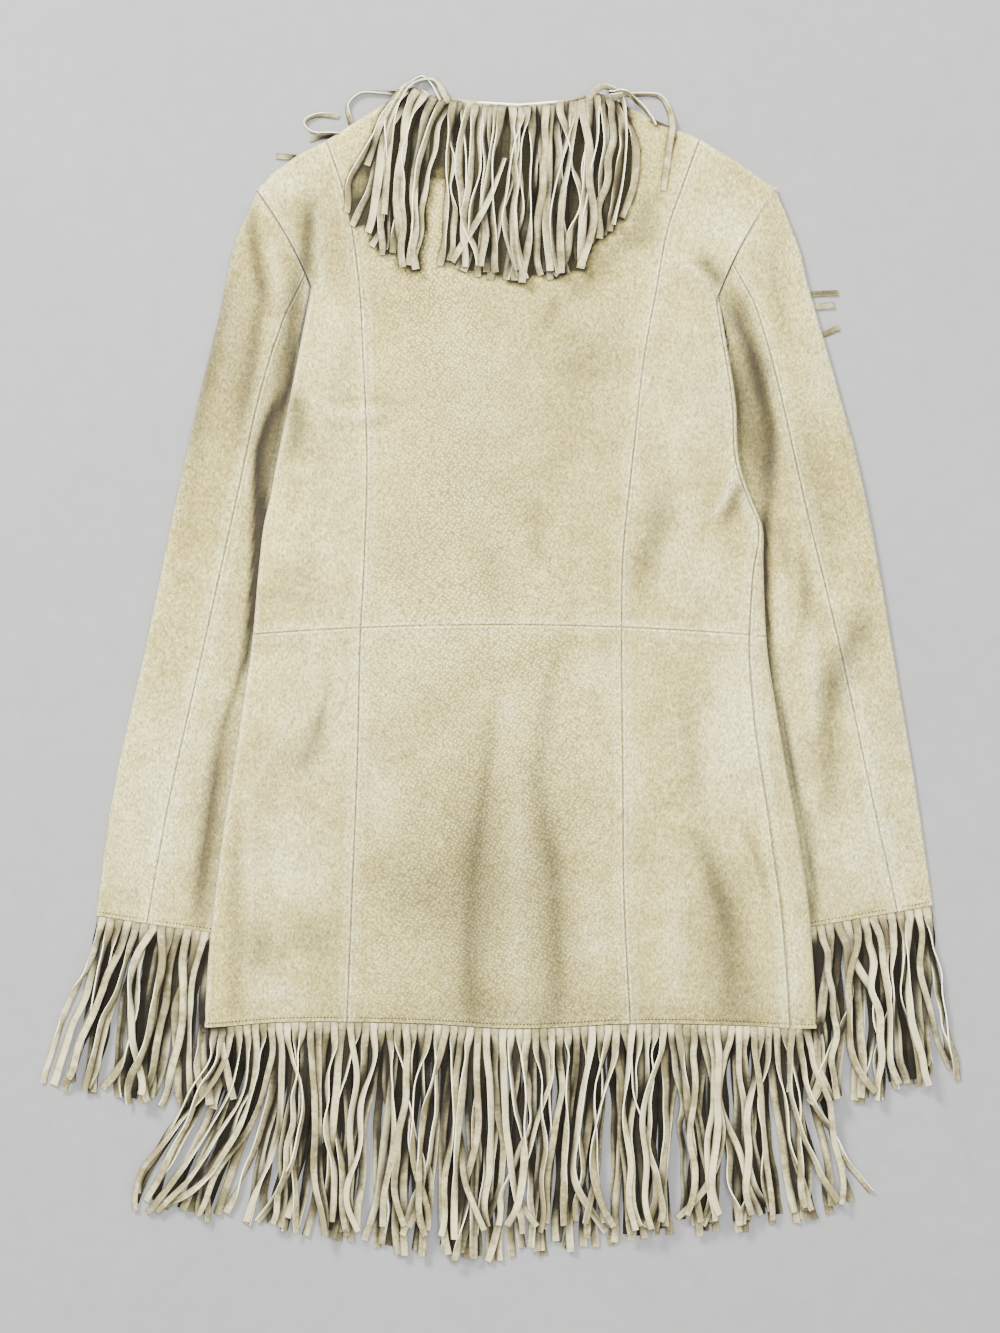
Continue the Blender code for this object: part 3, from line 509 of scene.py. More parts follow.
# Creases of the sleeves, the same way, then two fold edges beside the body with painted shade in the hollows
# past them.
SLEEVE_CREASES = tuple(Crease(*crease) for crease in (
    ((-211, 344), (-209, 304), (-198, 252), 6, -1.2, -0.68),
    ((-197, 314), (-190, 290), (-188, 262), 4.5, 1.3, 0.5),
    ((-202, 276), (-208, 222), (-221, 150), 7, -1.1, -0.62),
    ((-222, 276), (-227, 232), (-231, 186), 4, 0.9, 0.3),
    ((-234, 290), (-243, 220), (-257, 136), 7, -0.7, -0.46),
    ((-172, 298), (-178, 244), (-184, 196), 8.5, -1.0, -0.76),
    ((-176, 234), (-192, 178), (-197, 120), 10, -1.6, -0.62),
    ((-199, 168), (-203, 90), (-207, 20), 8, -1.6, -0.50),
    ((-208, 50), (-212, 0), (-217, -36), 4.5, -1.0, -0.82),
    ((-214, -12), (-224, -52), (-236, -88), 3, -0.6, -0.7),
    ((-231, -66), (-245, -150), (-255, -244), 7.5, -1.4, -0.88),
    ((172, 276), (190, 236), (200, 186), 8, -1.4, -0.72),
    ((192, 220), (200, 162), (200, 104), 11, -1.8, -0.70),
    ((178, 230), (182, 172), (190, 120), 11, -0.9, -0.66),
    ((170, 256), (180, 238), (189, 217), 2.5, 1.2, 0.7), ((207, 152), (203, 126), (198, 106), 2, 0.9, 0.5),
    ((206, 134), (199, 90), (200, 30), 6, -1.2, -0.76), ((200, 56), (200, 6), (205, -40), 4.5, -0.8, -0.76),
    ((203, -22), (216, -84), (233, -164), 4, -0.6, -0.74),
    ((231, -144), (238, -190), (241, -244), 4, -0.6, -0.74),
    ((226, 66), (233, 34), (233, 0), 6, -1.1, -0.5), ((211, 88), (216, 62), (218, 40), 5, -0.7, -0.4),
    ((212, 48), (214, 20), (212, -12), 6, 0.9, 0.5), ((284, 20), (264, -18), (250, -62), 12, -0.9, -0.55),
    ((253, -18), (248, -90), (253, -152), 9.5, -1.3, -0.52),
    ((236, 14), (238, -40), (239, -96), 6, 0.9, 0.5), ((204, 306), (210, 264), (217, 224), 7, -0.8, -0.35),
    ((232, 288), (240, 240), (250, 186), 6, 0.8, 0.3), ((262, 80), (266, -10), (286, -100), 15, 0.6, 0.1),
    ((296, -60), (300, -130), (312, -196), 13, -0.5, -0.1),
)) + (
    Tuck(((-184, 206), (-190, 192), (-199, 172), (-208, 145), (-210, 118), (-211, 67), (-213, 12),
          (-214.5, -14)), 2.6, 12.5, -1.4, -0.985),
    Tuck(((170, 272), (192, 222), (201, 192), (208, 163), (210, 143), (206, 124), (198, 98)),
         4.0, 11, -0.6, -0.86, -1.0),
)


@dataclass
class Relief:
    """The soft height of the upper layers: crowned between the folds, creased and a little uneven."""

    pattern: Pattern
    puff: float = 4.4
    puff_reach: float = 20.0
    hem_share: float = 0.4
    hem_reach: float = 50.0
    edge_calm: float = 16.0
    hem_calm: Pair = (-2.0, 24.0)
    cuff_calm: Pair = (0.0, 24.0)
    free_side: Pair = (3.0, 30.0)
    free_top: Pair = (226.0, 272.0)
    uneven: float = 0.32
    waves: int = 14
    wave_lengths: Pair = (42.0, 130.0)
    sleeve_shift: float = 400.0
    seed: int = 11

    def __post_init__(self) -> None:
        """Set out the lines that the heights are measured from."""
        rng = np.random.default_rng(self.seed)
        self.outer = self.pattern.outer_line()
        self.inner = {side: self.pattern.inner_line(side) for side in Side}
        self.folds = {side: self.pattern.fold_line(side) for side in Side}
        turn = rng.uniform(0, math.tau, self.waves)
        size = math.tau / rng.uniform(*self.wave_lengths, self.waves)
        self.wave = np.stack((np.cos(turn) * size, np.sin(turn) * size, rng.uniform(0, math.tau, self.waves)))

    def crown(self, away: Array, above: Array) -> Array:
        """The rounded rise from a fold towards the middle, lower towards an open end."""
        rise = self.puff * np.sqrt(1 - (1 - np.clip(away / self.puff_reach, 0, 1)) ** 2)
        return rise * mix(self.hem_share, 1.0, ease(0, self.hem_reach, above))

    def soft(self, x: Array, y: Array, shift: float, creases: Iterable[Crease | Tuck]) -> Array:
        """Gentle unevenness of the leather, with its creases."""
        total = sum(np.sin(a * (x + shift) + b * y + c) for a, b, c in self.wave.T)
        waves = self.uneven * total / math.sqrt(self.waves)
        return waves + sum(crease.height * crease.at(x, y) for crease in creases)

    def body(self, x: Array, y: Array) -> Array:
        """Height of the back's outer face above its folded edge's own level."""
        away = distance_to(x, y, self.outer)
        for line in self.folds.values():
            away = np.minimum(away, distance_to(x, y, line))
        above = y - self.pattern.hem(x)
        soft = self.soft(x, y, 0.0, BODY_CREASES) * ease(0, self.edge_calm, away)
        return self.crown(away, above) + soft * ease(*self.hem_calm, above)

    def sleeve(self, x: Array, y: Array, side: Side) -> Array:
        """Height of a sleeve's upper face above its folded edge's own level."""
        away = np.minimum(distance_to(x, y, self.outer), distance_to(x, y, self.inner[side]))
        clear = (x - self.pattern.side_fold(side, y)) * side.value
        free = np.maximum(ease(*self.free_side, clear), ease(*self.free_top, y))
        cuff = self.pattern.sleeves[side][-1]
        above = distance_to(x, y, np.array((cuff[0:2], cuff[2:4]), float))
        soft = self.soft(x, y, self.sleeve_shift, SLEEVE_CREASES) * ease(0, self.edge_calm, away)
        return (self.crown(away, above) + soft * ease(*self.cuff_calm, above)) * free

    def body_top(self, x: Array, y: Array) -> Array:
        """Height of the back above the floor."""
        return self.pattern.lift(x, y, Layer.BODY) + self.pattern.rise + self.body(x, y)


SEAM_ROWS = (0.5, 1.0, 1.7, 2.5, 3.6, 5.6, 8.0, 9.4, 10.8, 13.5)


def seam_relief(distance: Array) -> Array:
    """Height near a sewn seam: a groove, the ridge of the turned allowance and its faint edge."""
    groove, ridge = -0.6 * bell(distance, 0, 0.6), 0.55 * bell(distance, 1.6, 0.9)
    return groove + ridge + 0.2 * (1 - ease(8.6, 10.2, distance))


@dataclass(frozen=True)
class StainAndShade:
    """A soft patch of the nap, paler above 0 and darker below: pale and dark patches of the hide, and painted
    shade on the sleeves beside the body and round the left armhole.
    """

    spot: Pair
    size: Pair
    turn: float
    tone: float

    def at(self, x: Array, y: Array) -> Array:
        """Its strength from 0 to 1 at points."""
        cos, sin = math.cos(math.radians(self.turn)), math.sin(math.radians(self.turn))
        dx, dy = x - self.spot[0], y - self.spot[1]
        u, v = (dx * cos + dy * sin) / self.size[0], (dy * cos - dx * sin) / self.size[1]
        return np.exp(-(u * u + v * v))


# Patches of the hide, and painted shade on the sleeves beside the body and round the left armhole.
STAINS_AND_SHADES = tuple(StainAndShade(*patch) for patch in (
    ((0, 150), (90, 140), 0, -0.12), ((-178, 356), (24, 13), 20, 0.5), ((-148, 225), (16, 40), 0, 0.35),
    ((-106, -132), (10, 26), 4, 0.65), ((-166, -192), (24, 24), 0, 0.35),
    ((-190, -292), (16, 16), 0, 0.6), ((-194, -188), (22, 22), 0, 0.45), ((62, -250), (14, 26), 0, 0.45),
    ((223, -262), (13, 56), -6, 0.5), ((-84, -20), (60, 20), 0, 0.15), ((174, -78), (20, 54), -6, 0.6),
    ((94, -126), (8, 32), 0, 0.4), ((66, -34), (16, 14), 0, 0.5), ((-6, -66), (8, 10), 0, 0.4),
    ((126, -252), (12, 24), 0, 0.3), ((170, 316), (32, 15), -20, 0.5), ((85, 5), (10, 5), 0, 0.6),
    ((150, 180), (24, 40), 0, 0.35), ((150, 40), (30, 30), 0, 0.3), ((-205, -254), (17, 19), 0, -0.42),
    ((-160, -244), (24, 17), 0, -0.42), ((-82, -206), (34, 30), 0, -0.34),
    ((-34, -200), (50, 60), 0, -0.12), ((60, 190), (30, 50), 10, -0.15),
    ((20, -306), (190, 14), 0, -0.30), ((-10, -190), (104, 110), 0, -0.20),
    ((-228, 214), (30, 100), -6, -0.18), ((-172, 310), (26, 40), 0, -0.16),
    ((-138, 316), (20, 34), 0, -0.22), ((-254, 180), (13, 110), -8, -0.36),
    ((-232, 262), (13, 56), -8, -0.36), ((-288, -150), (34, 90), -8, 0.55),
    ((-240, -60), (10, 90), -6, 0.25), ((236, 130), (20, 60), 8, -0.25), ((284, -180), (40, 44), 0, 0.65),
    ((296, -90), (22, 60), 8, 0.35), ((222, -110), (8, 60), 10, 0.3), ((256, 90), (20, 20), 0, -0.25),
    ((232, 300), (14, 40), 10, 0.3), ((-224, 200), (16, 60), -6, -0.28), ((242, 205), (12, 40), 8, 0.35),
    ((-154, 110), (28, 110), 0, 0.22), ((130, 150), (24, 100), 0, 0.2), ((166, 336), (26, 30), 0, 0.4),
    ((-150, -62), (60, 64), 0, 0.28), ((-180, -170), (40, 60), 0, 0.2), ((186, -80), (40, 80), 0, 0.25),
))


@dataclass(frozen=True)
class SuedeFinish:
    """Pale suede: a mottled nap, pale patches with painted highlights, painted shade and the small pores of
    the hide.
    """

    name: str
    warm: Colour = (0.350, 0.284, 0.082)
    light: Colour = (0.820, 0.722, 0.285)
    # Pale patches of the hide, and painted highlight on ridges, seam allowances and the outer edges.
    pale: Colour = (1.000, 0.965, 0.560)
    dark: Colour = (0.130, 0.104, 0.036)
    # Painted shade in creases, hollows and beside the body, and the dark patches of the hide.
    shade: Colour = (0.016, 0.013, 0.009)
    pore: Colour = (1.000, 0.920, 0.480)
    # Seam lines, and painted shadow under the neck fringe and painted shade in the armholes and the hem's
    # stitch groove.
    seam: Colour = (0.012, 0.010, 0.006)
    pores: float = 0.62
    between: float = 0.25
    streaks: float = 0.80
    grain: float = 0.55
    roughness: float = 0.93
    sheen: float = 0.25
    bump: float = 0.9


@dataclass(frozen=True)
class StrandFinish:
    """Suede of the cut strands, each with its own tone, and the colours of their painted highlights and
    painted shade.
    """

    name: str
    warm: Colour = (0.200, 0.167, 0.078)
    pale: Colour = (0.503, 0.449, 0.251)
    # Painted highlight on the raised edge of a twisted strand, where its paler cut edge turns up.
    raised_edge_highlight: Colour = (0.820, 0.775, 0.530)
    # Painted shade of strands deep in the pile and of their lowered edges.
    shade: Colour = (0.006, 0.005, 0.004)
    roughness: float = 0.92
    sheen: float = 0.07
    bump: float = 0.45


@dataclass(frozen=True)
class PlainFinish:
    """A finish of one tone with a fine grain: cut edges, thread, binding, floor."""

    name: str
    colour: Colour
    shade: Colour
    scale: float = 500.0
    roughness: float = 0.9
    bump: float = 0.2
    sheen: float = 0.0


class Shader:
    """Sets out one material's nodes."""

    def __init__(self, name: str) -> None:
        """Start a material with its principled shader and Object coordinates."""
        self.material = bpy.data.materials.new(name)
        self.material.use_nodes = True
        self.tree = self.material.node_tree
        self.surface = self.tree.nodes["Principled BSDF"]
        self.place = self.node("ShaderNodeTexCoord").outputs["Object"]

    def node(self, kind: str, inputs: dict | None = None, **settings: object) -> bpy.types.Node:
        """Add a node.

        Args:
            kind: The node's type.
            inputs: A value, or a socket to link, for each input by name or number.
            settings: The node's own settings.

        Returns:
            The node.
        """
        node = self.tree.nodes.new(kind)
        for key, value in settings.items():
            setattr(node, key, value)
        for key, value in (inputs or {}).items():
            if isinstance(value, bpy.types.NodeSocket):
                self.tree.links.new(value, node.inputs[key])
            else:
                node.inputs[key].default_value = value
        return node

    def nap(self) -> tuple[object, ...]:
        """The four values of the piece's own attribute: red, green, blue and alpha."""
        own = self.node("ShaderNodeAttribute", attribute_name="nap").outputs
        parts = self.node("ShaderNodeSeparateColor", {"Color": own["Color"]}).outputs
        return parts["Red"], parts["Green"], parts["Blue"], own["Alpha"]

    def noise(self, scale: float, detail: float, rough: float, stretch: Triple = (1, 1, 1)) -> object:
        """A noise pattern from about 0 to 1, with more contrast than plain noise."""
        place = self.node("ShaderNodeMapping", {"Vector": self.place, "Scale": stretch}).outputs[0]
        inputs = {"Vector": place, "Scale": scale, "Detail": detail, "Roughness": rough}
        return self.ramp(self.node("ShaderNodeTexNoise", inputs).outputs["Fac"], 0.3, 0.7)

    def ramp(self, value: object, low: float, high: float, start: float = 0.0, stop: float = 1.0) -> object:
        """A value moved from one range to another."""
        inputs = {"Value": value, "From Min": low, "From Max": high, "To Min": start, "To Max": stop}
        return self.node("ShaderNodeMapRange", inputs).outputs["Result"]

    def blend(self, share: object, first: object, last: object) -> object:
        """A colour between two."""
        node = self.node("ShaderNodeMix", data_type="RGBA")
        for key, value in (("Factor", share), ("A", first), ("B", last)):
            socket = next(s for s in node.inputs if s.name == key and s.enabled)
            if isinstance(value, bpy.types.NodeSocket):
                self.tree.links.new(value, socket)
            else:
                socket.default_value = (*value, 1.0) if key != "Factor" else value
        return next(s for s in node.outputs if s.enabled)

    def coated(self, colour: object, *coats: tuple[object, object]) -> object:
        """A colour with others over it, each after the share of it that shows."""
        for share, coat in coats:
            colour = self.blend(share, colour, coat)
        return colour

    def plus(self, first: object, last: object) -> object:
        """The sum of two values."""
        return self.node("ShaderNodeMath", {0: first, 1: last}, operation="ADD").outputs[0]

    def times(self, first: object, last: object) -> object:
        """The product of two values."""
        return self.node("ShaderNodeMath", {0: first, 1: last}, operation="MULTIPLY").outputs[0]

    def finish(self, colour: object, height: object, look: object) -> Material:
        """Join colour and relief to the shader.

        Args:
            colour: The colour socket.
            height: The height socket.
            look: The finish, which has the strength of the relief, the roughness and the sheen.

        Returns:
            The material.
        """
        relief = self.node("ShaderNodeBump", {"Height": height, "Strength": look.bump, "Distance": 0.0008})
        sockets = self.surface.inputs
        self.tree.links.new(relief.outputs["Normal"], sockets["Normal"])
        self.tree.links.new(colour, sockets["Base Color"])
        sockets["Roughness"].default_value = look.roughness
        sockets["Specular IOR Level"].default_value = 0.07
        sockets["Sheen Weight"].default_value = look.sheen
        sockets["Sheen Roughness"].default_value = 0.45
        sockets["Sheen Tint"].default_value = (1.0, 0.97, 0.90, 1.0)
        return self.material


def dress_suede(look: SuedeFinish) -> Material:
    """The suede of the panels; the piece's own attribute holds seam lines with painted shadow and shade, pale
    patches with painted highlights, painted shade and pores.
    """
    shader = Shader(look.name)
    plus, times, ramp = shader.plus, shader.times, shader.ramp
    seam, pale_patches_and_highlights, shade, hide = shader.nap()
    mottle, cloud, nap = shader.noise(15, 5, 0.62), shader.noise(48, 4, 0.62), shader.noise(290, 5, 0.78)
    streak, grain = shader.noise(560, 3, 0.6, (1.0, 0.55, 1.0)), shader.noise(900, 3, 0.7)
    spread = plus(plus(times(mottle, 0.28), times(cloud, 0.20)), times(nap, 0.52))
    warp = shader.node("ShaderNodeTexNoise", {"Vector": shader.place, "Scale": 6.0, "Detail": 1.0})
    sway = shader.node("ShaderNodeVectorMath", {0: warp.outputs["Color"], "Scale": 0.035}, operation="SCALE")
    bent = shader.node("ShaderNodeVectorMath", {0: shader.place, 1: sway.outputs[0]}, operation="ADD")
    turned = shader.node("ShaderNodeMapping", {"Vector": bent.outputs[0], "Rotation": (0, 0, 0.6)}).outputs[0]
    cells = shader.node("ShaderNodeTexVoronoi", {"Vector": turned, "Scale": 322.0, "Randomness": 0.55},
                        voronoi_dimensions="2D").outputs["Distance"]
    patch = times(hide, ramp(cloud, 0.1, 0.8, 0.45, 1.1))
    dots = times(ramp(cells, 0.31, 0.10), patch)
    between = times(ramp(cells, 0.22, 0.55), ramp(patch, 0.0, 1.0, 0.08, look.between))
    # Over the nap: pale patches and painted highlights, the nap's dark streaks, grain and pore surrounds, the
    # pores, painted shade, then seam lines with painted shadow and shade.
    colour = shader.coated(
        shader.blend(ramp(spread, 0.26, 0.73), look.warm, look.light),
        (times(pale_patches_and_highlights, ramp(cloud, 0.0, 1.0, 0.5, 1.25)), look.pale),
        (ramp(streak, 0.0, 1.0, look.streaks, 0.0), look.dark),
        (ramp(grain, 0.0, 1.0, look.grain, 0.0), look.dark),
        (between, look.dark),
        (times(dots, look.pores), look.pore),
        (times(shade, ramp(cloud, 0.0, 1.0, 0.982, 1.0)), look.shade),
        (seam, look.seam))
    height = plus(plus(times(nap, 0.4), times(dots, 0.9)), times(streak, 0.5))
    return shader.finish(colour, height, look)


def dress_strands(look: StrandFinish) -> Material:
    """The suede of the strands; the attribute holds painted highlight on their raised edges, their tone,
    painted shade by their depth in the pile, and painted shade on their lowered edges.
    """
    shader = Shader(look.name)
    ramp = shader.ramp
    raised_edge_highlight, tone, depth, side = shader.nap()
    nap, grain, cloud = shader.noise(260, 5, 0.7), shader.noise(900, 3, 0.7), shader.noise(46, 3, 0.6)
    tone = shader.plus(shader.plus(tone, ramp(nap, 0, 1, -0.42, 0.42)), ramp(cloud, 0.2, 0.8, -0.42, 0.42))
    # Over the tone: the grain, painted shade on a strand's lowered edge, painted highlight on its raised
    # edge, and painted shade deep in the pile.
    colour = shader.coated(
        shader.blend(tone, look.warm, look.pale),
        (ramp(grain, 0, 1, 0.22, 0.0), look.shade),
        (ramp(side, 0.62, 1.0, 0.0, 0.72), look.shade),
        (ramp(raised_edge_highlight, 0.78, 0.98, 0.0, 0.75), look.raised_edge_highlight),
        (depth, look.shade))
    return shader.finish(colour, shader.plus(nap, shader.times(grain, 0.5)), look)


def dress_plain(look: PlainFinish) -> Material:
    """A plain finish with a fine grain."""
    shader = Shader(look.name)
    grain, cloud = shader.noise(look.scale, 4, 0.6), shader.noise(look.scale / 12, 3, 0.6)
    share = shader.plus(shader.times(grain, 0.6), shader.times(cloud, 0.4))
    return shader.finish(shader.blend(share, look.colour, look.shade), grain, look)


@dataclass
class Cutting:
    """Turns grids of points into pieces of leather on the frame."""

    shift: Pair
    smooth_below: float = 55.0

    def leather(self, name: str, node: str, slot: str, points: Array, nap: Array, wall: Pair,
                finishes: list[Material], kept: Array | None = None) -> Piece:
        """A piece of leather from a grid of points.

        Args:
            name: The piece's name.
            node: The node that it stands for.
            slot: Not used.
            points: Rows and columns of x, y and z in mm, rows from -y to +y.
            nap: The four nap values of each point.
            wall: Its thickness in mm, and on which side of the points it lies, from -1 below to 0 about them.
            finishes: The finish of its faces and, where there is a second one, of its cut edges.
            kept: For each cell of the grid, whether it is part of the piece.

        Returns:
            The piece.
        """
        piece = self.grid(name, *points.shape[:2])
        if kept is not None:
            self.cut_out(piece, points.shape[:2], kept)
        self.place(piece, points, nap)
        self.thicken(piece, *wall, finishes)
        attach(piece, "root")
        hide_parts(node)
        return piece

    def grid(self, name: str, rows: int, columns: int) -> Piece:
        """A flat grid whose vertices keep their column and row until they are placed."""
        bpy.ops.object.select_all(action="DESELECT")
        bpy.ops.mesh.primitive_grid_add(x_subdivisions=columns - 1, y_subdivisions=rows - 1, size=2)
        piece = bpy.context.object
        piece.name = piece.data.name = name
        return piece

    @staticmethod
    def spots(parts: bpy.types.bpy_prop_collection, key: str, shape: tuple[int, int]) -> tuple[Array, Array]:
        """Row and column of each vertex or face of a flat grid, as fractions."""
        flat = np.empty(len(parts) * 3)
        parts.foreach_get(key, flat)
        column, row = ((flat[axis::3] + 1) / 2 * (shape[1 - axis] - 1) for axis in (0, 1))
        return row, column

    def cut_out(self, piece: Piece, shape: tuple[int, int], kept: Array) -> None:
        """Delete the cells of a grid that aren't kept."""
        faces = piece.data.polygons
        row, column = (place.astype(int) for place in self.spots(faces, "center", shape))
        bpy.ops.object.mode_set(mode="EDIT")
        bpy.ops.mesh.select_mode(type="FACE")
        bpy.ops.mesh.select_all(action="DESELECT")
        bpy.ops.object.mode_set(mode="OBJECT")
        faces.foreach_set("select", ~kept[row, column])
        bpy.ops.object.mode_set(mode="EDIT")
        bpy.ops.mesh.delete(type="FACE")
        bpy.ops.object.mode_set(mode="OBJECT")

    def place(self, piece: Piece, points: Array, nap: Array) -> None:
        """Put the grid's vertices where they belong, and give each its nap values."""
        found = self.spots(piece.data.vertices, "co", points.shape[:2])
        row, column = (np.rint(place).astype(int) for place in found)
        moved = points[row, column] + np.array((*self.shift, 0.0))
        piece.data.vertices.foreach_set("co", (moved * MM).ravel())
        colours = piece.data.color_attributes.new(name="nap", type="FLOAT_COLOR", domain="POINT")
        colours.data.foreach_set("color", nap[row, column].astype(np.float32).ravel())
        piece.data.update()

    def thicken(self, piece: Piece, wall: float, offset: float, finishes: list[Material]) -> None:
        """Give a placed grid its wall and its finishes, the second one on the cut edges."""
        for finish in finishes:
            piece.data.materials.append(finish)
        solid = piece.modifiers.new("wall", "SOLIDIFY")
        solid.thickness, solid.offset = wall * MM, offset
        solid.use_even_offset = False
        solid.material_offset_rim = len(finishes) - 1
        bpy.ops.object.modifier_apply(modifier=solid.name)
        bpy.ops.object.shade_smooth_by_angle(angle=math.radians(self.smooth_below))


def inset(plan: Array, step: float) -> Array:
    """Draw the border of a grid of plan points in by a step."""
    for _ in range(2):
        for outer, inner in ((0, 1), (-1, -2)):
            run = plan[inner] - plan[outer]
            plan[outer] += run / np.maximum(np.linalg.norm(run, axis=-1, keepdims=True), 1e-6) * step
        plan = plan.swapaxes(0, 1)
    return plan


def sheet_size(points: Array, kept: Array | None = None) -> tuple[Pair, float]:
    """Width, length and area in metres of a grid of points in mm, or of its kept cells."""
    across = np.linalg.norm(np.diff(points, axis=1), axis=-1).sum(1).max()
    along = np.linalg.norm(np.diff(points, axis=0), axis=-1).sum(0).max()
    first = np.cross(points[1:, :-1] - points[:-1, :-1], points[:-1, 1:] - points[:-1, :-1])
    last = np.cross(points[1:, :-1] - points[1:, 1:], points[:-1, 1:] - points[1:, 1:])
    cells = (np.linalg.norm(first, axis=-1) + np.linalg.norm(last, axis=-1)) / 2
    area = cells.sum() if kept is None else cells[kept].sum()
    return (across * MM, along * MM), area * MM * MM


@dataclass
class Looks:
    """The finished materials."""

    suede: Material
    edge: Material
    strands: Material
    strand_edge: Material
    thread: Material
    binding: Material
    floor: Material


@dataclass
class Bench:
    """What every maker of pieces works with."""

    pattern: Pattern
    relief: Relief
    cutting: Cutting
    looks: Looks


@dataclass
class Body(Bench):
    """The back and the fronts of the jacket."""

    step: float = 3.0
    hidden_step: float = 8.0
    hidden_rows: tuple[float, ...] = (1.5, 4.0)
    hidden_columns: tuple[float, ...] = (1.5, 4.0, 8.0, 13.0, 20.0)
    front_width: float = 220.0
    skirt: float = 318.0
    side: float = 274.0
    armhole: float = 150.0
    fold_steps: tuple[float, ...] = (18, 36, 54, 72, 90)
    fold_end: Pair = (6.85, 7.1)
    quarter: int = 6
    parting: float = 0.04
    seam_line: float = 0.68
    waist_line: float = 0.34
    fringe_shade_from: float = 230.0
    spine: tuple[Pair, ...] = ((-62, 300), (-40, 150), (-30, 20), (-16, -90), (-16, -240))
    pile: "Pile | None" = None
    made: dict[str, Piece] = field(default_factory=dict)
    sizes: dict[str, tuple[Pair, float]] = field(default_factory=dict)

    def finish(self, name: str, points: Array, nap: Array, kept: Array | None = None) -> None:
        """Cut one panel, and note the size that it was cut to."""
        wall, faces = (self.pattern.wall, -1.0), [self.looks.suede, self.looks.edge]
        self.made[name] = self.cutting.leather(name + "_suede", name, "panel_suede", points, nap, wall, faces,
                                               kept)
        self.sizes[name] = sheet_size(points, kept)

    def nap(self, plan: Array, seam: Array, pores: float,
            creases: Iterable[Crease | Tuck] = BODY_CREASES) -> Array:
        """The nap values of points: seam line with painted shade and shadow, pale patches with painted
        highlights, painted shade, and pores.

        Args:
            plan: The points.
            seam: Their distance from a seam.
            pores: How much the hide's pores show.
            creases: What paints shade and highlights into the nap beside the stains and shades.

        Returns:
            Four values from 0 to 1 for each point.
        """
        x, y = plan[..., 0], plan[..., 1]
        # Pale patches and painted highlights gather in bright; dark patches and painted shade in dim.
        bright, dim = np.zeros(x.shape), np.zeros(x.shape)
        for patch in (*STAINS_AND_SHADES, *creases):
            tone = patch.tone * patch.at(x, y)
            bright = 1 - (1 - bright) * (1 - np.maximum(tone, 0))
            dim = 1 - (1 - dim) * (1 + np.minimum(tone, 0))
        at_waist = np.abs(y - self.pattern.waist(x))
        line = mix(self.waist_line, self.seam_line, ease(0, 0.2, at_waist - seam)) * bell(seam, 0, 0.45)
        line = line + 0.05 * bell(seam, 9.4, 0.9)
        # Painted highlight on the ridges of the turned seam allowances.
        seam_ridge_highlight = 1.1 * bell(seam, 1.5, 0.7) + 0.30 * bell(seam, 5.6, 2.8)
        # Painted shade in the sunk armholes, deeper towards the underarm.
        for side in Side:
            line = np.maximum(line, self.armhole_line(x, y, side))
        # Painted shadow of the neck fringe's strands on the back.
        if self.pile is not None:
            line = np.maximum(line, self.pile.shade(x, y) * (y > self.fringe_shade_from))
        # Painted shade in the groove of the hem's stitch row.
        line = line + 0.25 * bell(y - self.pattern.hem(x), 3.1, 0.8) * (seam > 0)
        around = distance_to(x, y, np.array(self.spine))
        hide = pores * (0.22 + 0.80 * bell(around, 0, mix(95.0, 46.0, ease(-40, 120, y))))
        # Painted highlight along the outer edges and the left side fold.
        edges = self.relief.outer, self.relief.folds[Side.LEFT]
        fold_edge_highlight = bell(np.minimum(*(distance_to(x, y, line) for line in edges)), 2.2, 1.6)
        pale = bright + seam_ridge_highlight + 0.55 * fold_edge_highlight
        return np.clip(np.stack((line, pale, dim, hide), -1), 0, 1)

    def armhole_line(self, x: Array, y: Array, side: Side) -> Array:
        """The sunk armhole seam line, with painted shade that deepens towards the underarm."""
        curve = self.pattern.armhole(side, np.linspace(0, 1, 17))
        down = np.hypot(x - curve[-1, 0], y - curve[-1, 1])
        return bell(distance_to(x, y, curve), 0, 0.8) * mix(0.95, 0.35, ease(15, 95, down))

    def rows(self, upper: bool, step: float, fine: tuple[float, ...]) -> Array:
        """Rows of a panel: row numbers of the upper body, or shares of the skirt's height."""
        if not upper:
            return graded(self.skirt, step, fine)
        low = graded(self.side, step, fine, (True, False)) * self.pattern.underarm_row
        span = self.pattern.upper_rows - self.pattern.underarm_row
        high = graded(self.armhole, step, fine, (False, True)) * span + self.pattern.underarm_row
        return np.concatenate((low, high[1:]))

    def folded(self, upper: bool, rows: Array) -> Array:
        """How far each row goes round the side fold: wholly up to the underarm."""
        return 1 - ease(*self.fold_end, rows) if upper else np.ones(len(rows))

    def shoulder(self, plan: Array) -> tuple[Array, Array]:
        """Rows that round the shoulder fold past the last row, and how far round each one is."""
        top = plan[-1]
        slope = (self.pattern.top(top[:, 0] + 3) - self.pattern.top(top[:, 0] - 3)) / 6
        outward = np.stack((-slope, np.ones(len(slope))), -1) / np.hypot(slope, 1)[:, None]
        turns = np.array(self.fold_steps)
        reach = self.pattern.fold * np.sin(np.radians(turns))
        return top[None] + outward[None] * reach[:, None, None], turns

    def raised(self, plan: Array, turn: Array, seam: Array) -> Array:
        """Points of the outer face over a plan, where it is turned by some degrees at a fold."""
        x, y = plan[..., 0], plan[..., 1]
        soft = self.relief.body(x, y) + seam_relief(seam)
        height = self.pattern.lift(x, y, Layer.BODY) + on_top(turn) * (self.pattern.rise + soft)
        return np.dstack((plan, height))

